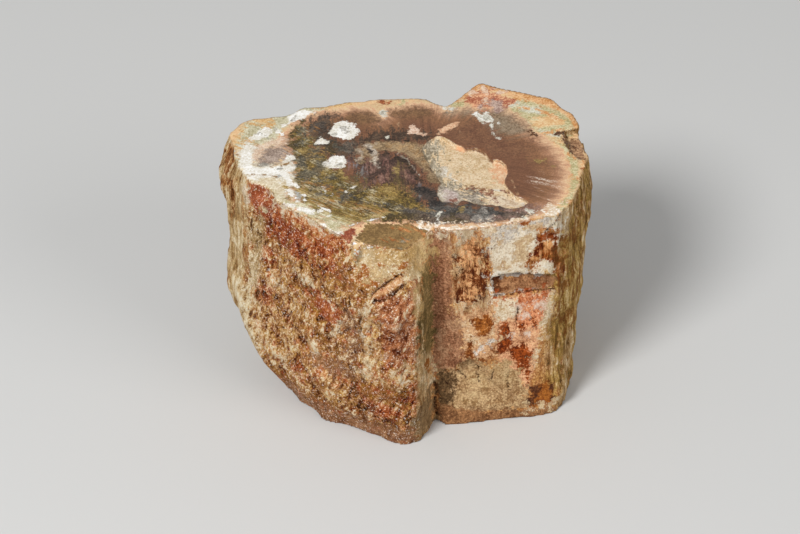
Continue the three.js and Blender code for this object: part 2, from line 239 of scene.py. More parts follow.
def coarse_relief(x, y, z):
    """How far the coarse relief stands out of the lofted side."""
    degrees = np.degrees(np.arctan2(y, x))
    pitted, smooth = zone(degrees, PITTED), zone(degrees, SMOOTH)
    bark = (1 - pitted) * (1 - smooth)
    total = 0
    for wave in RELIEF:
        places = zip((x, y, z), wave["size"], wave["shift"])
        own = noise(*(value / size + shift for value, size, shift in places))
        share = wave["pitted"] * pitted + wave["smooth"] * smooth + wave["bark"] * bark
        total = total + wave["height"] * own * share
    return total


def edge_distance(u, v, a, b):
    """Distance to the straight line between two corners."""
    edge = b - a
    share = np.clip(((u - a[0]) * edge[0] + (v - a[1]) * edge[1]) / (edge @ edge), 0, 1)
    return np.hypot(u - a[0] - share * edge[0], v - a[1] - share * edge[1])


def outline_distance(u, v, outline):
    """Distance to a closed outline, below 0 inside it."""
    points = np.array(outline, float)
    nearest = np.full(u.shape, np.inf)
    inside = np.zeros(u.shape, bool)
    for a, b in zip(points, np.roll(points, -1, axis=0)):
        nearest = np.minimum(nearest, edge_distance(u, v, a, b))
        if a[1] != b[1]:
            crosses = (a[1] > v) != (b[1] > v)
            inside ^= crosses & (u < a[0] + (v - a[1]) * (b[0] - a[0]) / (b[1] - a[1]))
    return np.where(inside, -nearest, nearest)


RAGGED = {"size": 1.7, "reach": 0.35, "shifts": (31, 17)}  # how a break's outline wanders, by two noises
BREAK_MARGIN = 2.0  # how far round an outline its break is worked out


def in_break(p, face, depth, slope, outline):
    """Distance outside the piece that has broken out, below 0 where it was."""
    out = np.cross(face["along"], face["up"])
    away = p - face["corner"]
    u, v, w = away @ face["along"], away @ face["up"], away @ out
    points = np.array(outline, float)
    low, high = points.min(0) - BREAK_MARGIN, points.max(0) + BREAK_MARGIN
    near = (u > low[0]) & (u < high[0]) & (v > low[1]) & (v < high[1]) & (np.abs(w) < REACH)
    result = np.full(len(p), BREAK_MARGIN)
    u, v, w, x, y, z = u[near], v[near], w[near], *(p[near] / RAGGED["size"]).T
    u = u + RAGGED["reach"] * noise(x, y + RAGGED["shifts"][0], z)
    v = v + RAGGED["reach"] * noise(x + RAGGED["shifts"][1], y, z)
    floor = w + depth + slope[0] * (u - points[0][0]) + slope[1] * (v - points[0][1])
    steepness = math.hypot(1, *slope)
    result[near] = np.maximum(outline_distance(u, v, outline), -floor / steepness)
    return result


def stone(p):
    """Distance outside the stone, about, in millimetres: below 0 in it and 0 on its surface."""
    x, y, z = p.T
    angle = np.arctan2(y, x)
    reach = loft_radius(angle, z)
    reach = reach + coarse_relief(reach * np.cos(angle), reach * np.sin(angle), z)
    solid = np.maximum(np.hypot(x, y) - reach, np.maximum(z - HEIGHT, -z))
    for face, depth, slope, outline in BREAKS.values():
        solid = np.maximum(solid, -in_break(p, face, depth, slope, outline))
    for centre, radius in SCOOPS:
        solid = np.maximum(solid, radius - np.linalg.norm(p - centre, axis=1))
    return solid


# The surface is netted: a grid of cells, one point in each cell that the surface runs through, and one face
# across each grid line that it cuts
CELL = 0.44  # side of a cell
GRID_LOW = np.array([-37.0, -29.5, -1.0])
GRID_HIGH = np.array([41.0, 31.0, HEIGHT + 1.0])
SETTLINGS = 2  # how many passes bring the netted points onto the surface
NUDGE = 0.05  # step for slopes
LEAST_SLOPE = 0.5  # squared, so that a point in a crease isn't thrown far

counts = np.ceil((GRID_HIGH - GRID_LOW) / CELL).astype(int)
axes = [GRID_LOW[a] + CELL * (np.arange(counts[a]) + 0.5) for a in range(3)]
grid = np.stack(np.meshgrid(*axes, indexing="ij"), -1)
level = stone(grid.reshape(-1, 3)).reshape(counts)
level[np.abs(level) < HAIR] = HAIR
cells = tuple(counts - 1)
total = np.zeros(cells + (3,))
crossings = np.zeros(cells, int)
cut_lines = []
for axis in range(3):
    first = tuple(slice(None, -1) if a == axis else slice(None) for a in range(3))
    second = tuple(slice(1, None) if a == axis else slice(None) for a in range(3))
    cut = (level[first] < 0) != (level[second] < 0)
    share = level[first] / np.where(cut, level[first] - level[second], 1)
    place = grid[first] + share[..., None] * (grid[second] - grid[first])
    cut_lines.append((axis, cut, level[first] < 0))
    others = [a for a in range(3) if a != axis]
    for da in (0, 1):
        for db in (0, 1):
            pick = [slice(None)] * 3
            pick[others[0]] = slice(da, cells[others[0]] + da)
            pick[others[1]] = slice(db, cells[others[1]] + db)
            pick = tuple(pick)
            total += np.where(cut[pick][..., None], place[pick], 0)
            crossings += cut[pick]

used = crossings > 0
number = np.full(cells, -1)
number[used] = np.arange(used.sum())
points = total[used] / crossings[used][:, None]
quads = []
for axis, cut, starts_inside in cut_lines:
    others = [(axis + 1) % 3, (axis + 2) % 3]
    inner = [slice(None)] * 3
    for a in others:
        inner[a] = slice(1, -1)
    where = np.argwhere(cut[tuple(inner)])
    for a in others:
        where[:, a] += 1
    ring = []
    for da, db in ((-1, -1), (0, -1), (0, 0), (-1, 0)):
        cell = where.copy()
        cell[:, others[0]] += da
        cell[:, others[1]] += db
        ring.append(number[tuple(cell.T)])
    ring = np.stack(ring, 1)
    flip = ~starts_inside[tuple(where.T)]
    ring[flip] = ring[flip][:, ::-1]
    quads.append(ring)
quads = np.concatenate(quads)

for _ in range(SETTLINGS):
    here = stone(points)
    slope = np.stack([stone(points + NUDGE * np.eye(3)[a]) - here for a in range(3)], 1) / NUDGE
    steepness = np.maximum((slope**2).sum(1), LEAST_SLOPE)[:, None]
    points = points + -np.clip(here, -CELL / 2, CELL / 2)[:, None] * slope / steepness


def point_normals(points, quads):
    """The surface's own direction at each point, from the faces round it."""
    across = points[quads[:, 2]] - points[quads[:, 0]]
    other = points[quads[:, 3]] - points[quads[:, 1]]
    face = np.cross(across, other)
    total = np.zeros_like(points)
    for n in range(4):
        np.add.at(total, quads[:, n], face)
    return total / np.maximum(np.linalg.norm(total, axis=1), HAIR)[:, None]


OVAL_STEP = 24  # degrees between the corners of an oval's outline
FAR = 9.0  # the distance given to points that a shape can't reach


def ovals(*each):
    """Outlines round ovals, each given by its middle, its two radii and how many degrees it is turned."""
    angles = np.radians(np.arange(0, 360, OVAL_STEP))
    outlines = []
    for across, up, wide, tall, *turn in each:
        c, s = math.cos(math.radians(sum(turn))), math.sin(math.radians(sum(turn)))
        u, v = wide * np.cos(angles), tall * np.sin(angles)
        outlines.append([(across + c * a - s * b, up + s * a + c * b) for a, b in zip(u, v)])
    return outlines


def lines(width, *paths):
    """Lines of one width, each through its own corners."""
    return [{"width": width, "corners": corners} for corners in paths]


def shape_distance(u, v, shape):
    """Distance to an outline or to a line, below 0 inside it."""
    if not isinstance(shape, dict):
        return outline_distance(u, v, shape)
    corners = np.array(shape["corners"], float)
    edges = zip(corners[:-1], corners[1:])
    return np.min([edge_distance(u, v, a, b) for a, b in edges], axis=0) - shape["width"] / 2


def shapes_distance(u, v, there, shapes):
    """Distance to the nearest of some shapes, for the points that can show them."""
    result = np.full(len(u), FAR)
    near = [shape_distance(u[there], v[there], shape) for shape in shapes]
    result[there] = np.minimum(np.min(near, axis=0), FAR)
    return result


# The broken sides' fine relief
# Leaning grains with pits between them on the front left, pores beside the channel, a slight ripple on the
# split faces, and upright fibres, splits and flakes on the bark. Each is a height along the surface's own
# direction.
GRANULAR = (-178, -84)  # degrees round the block: where the grains are
LEAN = math.radians(30)  # how far the grains lean from upright, down to the right
GRAIN_CELL = (1.6, 0.9, 1.0)  # a grain's size along its lean, across it and into the stone
GRAIN_WAVES = [(0.28, (2.2, 1.1, 1.4)), (0.55, (5, 3, 3)), (0.14, (0.9, 0.6, 0.7))]  # height, grains
UNDERSIDE_LAYER, CHIP_LAYER = 3.0, 5.0  # the level faces' own heights in the noise
CRACK_DEPTH = 0.35
LEDGE_RISE = 0.35
RIM_MARGIN = 0.9  # how far below the polished face the relief reaches its full height
CHIP_FLOOR = 0.08  # how far below the polished face the chip's floor starts
TOP_FROM = 40  # above this height a level face is the polished top
TOP_SHAPES_FROM = 42  # above this height the top's shapes can show
FRONT_SHAPES_TO = 2  # as far back as this the front's shapes can show
CHIP = BREAKS["top_chip"][-1]

# Outlines, ovals and lines as seen from the front, x and z
PORES = [[(6.6, 47.5), (16.8, 47.5), (16.6, 34), (17.0, 27.5), (13.4, 26.6), (9.8, 27.6), (9.8, 40)]]
CRUMBLY = [[
    (24, 37.5), (25.5, 39), (26, 41.2), (27.5, 42.8), (29.8, 42.6), (30.2, 40), (31.8, 37), (31.8, 31.5),
    (30, 31.5), (29.8, 35.5), (28, 36.5), (26, 35.5), (25, 33.8), (24.4, 35)]]
ROUGH = [[(18, 30), (29, 29.6), (27.4, 20), (25.6, 8), (21, 9), (18, 17)],
         [(-5.4, 35.2), (2.6, 36.4), (2.6, 20), (-3.6, 20), (-4, 30)],
         [(12, 27), (17, 27), (16, 14), (12, 14)]]
FACET = [(-8.6, 46.3), (5.6, 46.4), (6, 42), (5.2, 37.6), (0.5, 40.8), (-2, 39.6), (-5.4, 36.2), (-8.2, 41)]
LEDGE = [(-5.4, 35.9), (-0.2, 40.0), (0.5, 39.2), (-1.5, 37.2), (-5.4, 35.1)]
EVEN = [FACET, LEDGE, [(-28, -1), (-28, 5.6), (-16, 4.8), (4, 4.6), (4, -1)], *ovals(
    (-26.4, 44.6, 2.8, 3.4), (-20.5, 42.4, 3.4, 1.6, -8), (-23, 38.8, 4.2, 1.6, 8), (-14, 43.4, 2.2, 2.6),
    (-14.4, 28.4, 3, 2.6, -20), (-10.8, 38, 2.6, 3), (-15, 15.5, 5.4, 3), (-5, 12.8, 5, 1.8))]
CRACKS = [
    *lines(0.1, [(20.4, 12), (20.0, 9.6), (20.4, 7)], [(7.3, 10.4), (9, 8.8), (9.6, 6.4)]),
    *lines(0.12, [(27.6, 43.4), (29, 44.8), (30.6, 46.6)], [(14.6, 13.6), (14.2, 11.4), (14.6, 9.0)],
           [(17.8, 30.6), (22, 30.4), (26, 30.1), (29.4, 29.7)], [(9.8, 12.2), (10.1, 10), (9.8, 7.6)],
           [(10.4, 12.4), (11.6, 11.2), (12.2, 10)]),
    *lines(0.15, [(-5.2, 36.3), (-2.6, 38.6), (-0.4, 40.2)], [(-9.9, 34.4), (-9.9, 32.6)],
           [(17.4, 12.6), (17.0, 10.8), (16.5, 9.2)]),
    *lines(0.2, [(-5.4, 34.8), (-3.4, 35.4), (-1.8, 36.5), (0.4, 38.6)],
           [(-7.8, 30.4), (-8.1, 28.6), (-7.7, 27)]),
    *lines(0.25, [(22.3, 27.0), (22.1, 25), (21.8, 23.2)]),
    *lines(0.3, [(5.9, 10), (6.2, 7.4), (5.8, 5), (6.1, 1.5)]),
]


APART = 57  # how far off the corners are that give a cell its other values


def scattered(q):
    """Distances to the nearest two of points scattered one to a unit cell, and the nearest one's value."""
    base = np.floor(q)
    first = np.full(len(q), FAR)
    second = first.copy()
    own = np.zeros(len(q))
    for side in np.ndindex(3, 3, 3):
        i, j, k = (base + np.array(side) - 1).T
        aside = (corner_value(i, j, k), corner_value(i + APART, j, k), corner_value(i, j + APART, k))
        centre = np.stack([i + aside[0], j + aside[1], k + aside[2]], 1)
        away = np.linalg.norm(q - centre, axis=1)
        nearer = away < first
        second = np.where(nearer, first, np.minimum(second, away))
        own = np.where(nearer, corner_value(i, j, k + APART), own)
        first = np.where(nearer, away, first)
    return first, second, own


def wave(places, size, shift=(0, 0, 0)):
    """Noise with waves of a size along each axis, and a shift that sets it apart from other noise."""
    return noise(*(places / size + shift).T)


def within(there, shapes, softness):
    """1 inside some shapes on the front, 0 outside them."""
    return 1 - step(shapes_distance(x, z, there, shapes), -softness, softness)


LEFT_FACE = upright_face([-24.4, -9.4], [-9.0, -22.8])
grain_axis = math.sin(LEAN) * LEFT_FACE["along"] - math.cos(LEAN) * LEFT_FACE["up"]
across_axis = math.cos(LEAN) * LEFT_FACE["along"] + math.sin(LEAN) * LEFT_FACE["up"]
through_axis = np.cross(grain_axis, across_axis)

# Where each kind of surface is, from 0 to 1
normals = point_normals(points, quads)
x, y, z = points.T
degrees = np.degrees(np.arctan2(y, x))
is_top = step(normals[:, 2], 0.6, 0.8) * (z > TOP_FROM)
is_wall = 1 - step(np.abs(normals[:, 2]), 0.75, 0.95)
underside = step(-normals[:, 2], 0.75, 0.95)
fronts = (y < FRONT_SHAPES_TO) & (is_top < 0.5)
tops = z > TOP_SHAPES_FROM
crack = shapes_distance(x, z, fronts, CRACKS)
chip = shapes_distance(x, y, tops, [CHIP])
porous = within(fronts, PORES, 0.5)
crumbly = within(fronts, CRUMBLY, 0.5)
rough = within(fronts, ROUGH, 0.8) * (1 - crumbly)
even = within(fronts, EVEN, 0.9)
granular = zone(degrees, GRANULAR) * (1 - 0.75 * even)
split = zone(degrees, SMOOTH) * (1 - porous) * (1 - crumbly)
bark = np.clip(1 - zone(degrees, GRANULAR) - zone(degrees, SMOOTH), 0, 1)

# The broken left face: leaning grains with dark seams between them, and pits
grain_axes = (grain_axis, across_axis, through_axis)
in_grains = np.stack([points @ axis / size for axis, size in zip(grain_axes, GRAIN_CELL)], 1)
first, second, own = scattered(in_grains)
grain_height = 0.20 * (own - 0.5) - 0.12 * np.exp(-((second - first) / 0.22) ** 2)
for height, size in GRAIN_WAVES:
    grain_height += height * wave(in_grains, size)
pits = step(wave(in_grains, (1.5, 1.5, 1.5), (0, 3, 0)), 0.35, 0.75)

# The bark's fibres, splits, flakes and plates, then the pores beside the channel and the crumbling corner
fibres = 0.16 * wave(points, (1.3, 1.3, 9)) + 0.10 * wave(points, (0.75, 0.75, 4), (0, 9, 0))
splits = np.exp(-(wave(points, (3.1, 3.1, 13), (0, 3, 0)) / 0.06) ** 2)
flakes = wave(points, (4.4, 4.4, 3), (0, 0, 8))
wide_plates = step(wave(points, (3.6, 3.6, 6.5), (0, 5, 0)), -0.08, 0.1)
plates = wide_plates + step(wave(points, (2.3, 2.3, 4), (0, 0, 2)), 0.1, 0.3)
clumps = wave(points, (1.5, 1.5, 1.8)) + 0.6 * wave(points, (0.7, 0.7, 0.8))
pores = step(wave(points, (1.1, 1.1, 1.7), (0, 0, 4)), 0.25, 0.6)
crumbs = step(wave(points, (1.7, 1.7, 1.9)), -0.1, 0.4)
ripple = 0.05 * wave(points, (1.6, 1.6, 1.6)) + 0.04 * wave(points, (0.8, 0.8, 0.8))
relief = (
    granular * (grain_height - 0.35 * pits)
    + porous * (-0.5 * pores + fibres)
    + crumbly * (-0.7 * crumbs + fibres)
    + split * ripple
    + rough * 0.16 * clumps
    + LEDGE_RISE * within(fronts, [LEDGE], 0.3)
    + bark * (1.2 * fibres - 0.25 * splits + 0.10 * flakes + 0.22 * (plates - 1))
)
relief = relief - CRACK_DEPTH * (1 - step(crack, -0.1, 0.25)) * is_wall
below_rim = step(HEIGHT - z, 0.0, RIM_MARGIN)
hollows = step(noise(x / 2.2, y / 2.2, UNDERSIDE_LAYER), -0.3, 0.6)
relief = relief * is_wall * below_rim - 0.35 * underside * hollows
chip_floor = is_top * (z < HEIGHT - CHIP_FLOOR) * (chip < 0.3)
relief = relief + chip_floor * (0.08 * noise(x / 0.9, y / 0.9, CHIP_LAYER) - 0.04)
points = points + relief[:, None] * normals
box_low, box_high = (np.array(corner) * MILLIMETRES + MIDDLE for corner in (cad_low, cad_high))
points = np.clip(points, box_low, box_high)

mesh = bpy.data.meshes.new("petrified_wood_stone")
mesh.from_pydata(((points - MIDDLE) / MILLIMETRES).tolist(), [], quads.tolist())
mesh.shade_smooth()
block = bpy.data.objects.new("petrified_wood_stone", mesh)
bpy.context.scene.collection.objects.link(block)
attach(block, "root")
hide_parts("petrified_wood")


# The stone's colours
# Minerals have stained the wood in bands and patches. Each stain has a dark and a light tone that are
# mottled together, its shapes, how soft its edge is and how far it wanders, what its edge follows, and how
# much it covers. The top's shapes are drawn in the plan, x and y, and the walls' from the front, x and z.
def stain(dark, light, *shapes, soft=0.7, ragged=0.8, by="cloud", strength=1.0):
    return {"dark": dark, "light": light, "shapes": shapes, "soft": soft, "ragged": ragged, "by": by,
            "strength": strength}


HEART = [
    (-17, -11.5), (-19.6, -7), (-20.5, -2), (-19.6, 2.6), (-20.6, 6), (-21.8, 10.5), (-20.8, 13.4),
    (-19.4, 17.4), (-17.4, 19.6), (-13, 20.8), (-8, 21.6), (-4.4, 20.9), (-3.2, 18.6), (-2.4, 17.6),
    (-1.6, 18.7), (-0.6, 20.9), (3, 21.9), (7, 21.5), (9.4, 20.2), (10.8, 19.2), (14.4, 20), (18, 20),
    (21.5, 19), (24.4, 16), (25.9, 12), (28, 9.4), (30.2, 5.6), (31.6, 1), (31.8, -3.6), (30.9, -8),
    (29, -12), (25.8, -15), (20, -17.3), (13, -17), (7, -17.2), (3, -16), (-4, -14.8), (-10, -16.2),
    (-13.6, -13.9)]
TOP_RIM_STAINS = {
    "sage_corner": stain("b4a985", "d8d1b2", [(-31, 3), (-31.4, 12), (-30, 17), (-27, 20.4), (-22, 21),
        (-18.5, 23), (-14, 23.4), (-13, 21.6), (-17.5, 20.4), (-20, 18.4), (-21.5, 16), (-23, 12.4),
        (-27, 10), (-29, 4)], soft=0.9, ragged=0.8),
    "ochre_in_sage": stain("cf9f62", "e2bd88", *ovals((-26, 19.2, 2.6, 1.1, 16),
        (-29.4, 12.2, 1.9, 0.7, 15), (-27.6, 9.8, 1.3, 0.8, 60), (-12, 23.2, 4, 0.7, 8),
        (-24.6, 17.2, 1.1, 0.5, 30), (-30.6, 9, 0.5, 2.2)), *lines(0.6, [(-31, 12), (-29.4, 17),
        (-26, 20.4)]), soft=0.8, ragged=1, by="streak"),
    "sage_left": stain("bfb38e", "e6dec4", [(-31.5, 4), (-30.6, -4), (-28, -9), (-22, -13), (-16, -17.4),
        (-10, -20.4), (-8, -18), (-13, -13.4), (-18, -9), (-20.2, -4), (-20.6, 3), (-24, 5), (-29, 6)],
        soft=1.4, ragged=1.2, strength=0.85),
    "green_rim": stain("b2a572", "d6caa0", [(23, 23.6), (26, 23.2), (30, 20.8), (33, 18), (34.6, 14.8),
        (34.6, 12), (33, 11), (28.5, 10.5), (26, 12), (25, 16), (22.6, 20)], [(30.2, 9.8), (32.2, 5.6),
        (33.4, 1), (33.4, -5), (32.4, -9), (30.2, -12.6), (26.6, -15.2), (27.6, -16.2), (31.4, -14),
        (33.6, -9.4), (34.8, -4), (34.9, 1), (33.6, 5.8), (31.8, 9.8)], [(-1, 23), (3, 24.2), (2, 22.4)], [
        (11, 22), (14, 23), (14, 20.8), (11.4, 20)], soft=0.7, ragged=0.9),
    "peach_in_green": stain("dfb37c", "f0d0a0", *ovals((29.6, 14.8, 3.6, 2, -8),
        (31.5, 8.8, 1.6, 0.6, -50)), soft=1.4, ragged=1.3),
    "pale_back_right": stain("c9c6ae", "e2e0cd", *ovals((27, 19.4, 2.6, 1.3, -30), (23.4, 21.4, 1.5, 1.2),
        (30, 11.2, 2.2, 0.7, -30)), soft=1.2, ragged=0.8),
    "orange_rim": stain("c98848", "efbd88", [(12.2, 23.4), (14.5, 27.4), (17, 29.6), (24, 27.5), (30, 24.6),
        (34.5, 20.5), (37, 15), (37.5, 8), (36.2, 10.6), (35.2, 14.6), (33.8, 17.6), (31, 19.8),
        (27.4, 21.8), (23.8, 23.4), (20.6, 26.2), (17.6, 26.6), (15, 25.6), (13.6, 23.4)], [(36, 3),
        (38.5, 4), (38.5, -9), (35, -12), (35.6, -8), (36.2, -3)], soft=1, ragged=1.3),
    "orange_net": stain("cf9258", "f4c898", *lines(0.5, [(28.6, 10.6), (31.4, 6), (32.5, 1), (32.5, -4),
        (31.4, -8.4), (28.6, -12.6)], [(24, 20.6), (28, 19.4), (32, 16.4)], [(27, 11), (30.4, 11.4),
        (33.4, 12.6)]), *lines(0.9, [(35.4, 6.4), (36.2, 1), (36, -5), (34.6, -10), (31.4, -15)]),
        *lines(0.4, [(33, 4), (35.4, 2.4)], [(32.6, -3), (35.6, -4.4)], [(31.6, -8), (34.4, -9)]), soft=0.8,
        ragged=1.3),
    "rim_rust": stain("8e4a26", "c47a48", *ovals((-1.9, 23.8, 1.6, 0.6, -10)), *lines(0.7, [(29.4, -18),
        (30.8, -15.6)]), *lines(0.4, [(35.6, -4), (35.9, -1)]), soft=0.5, ragged=0.9),
}
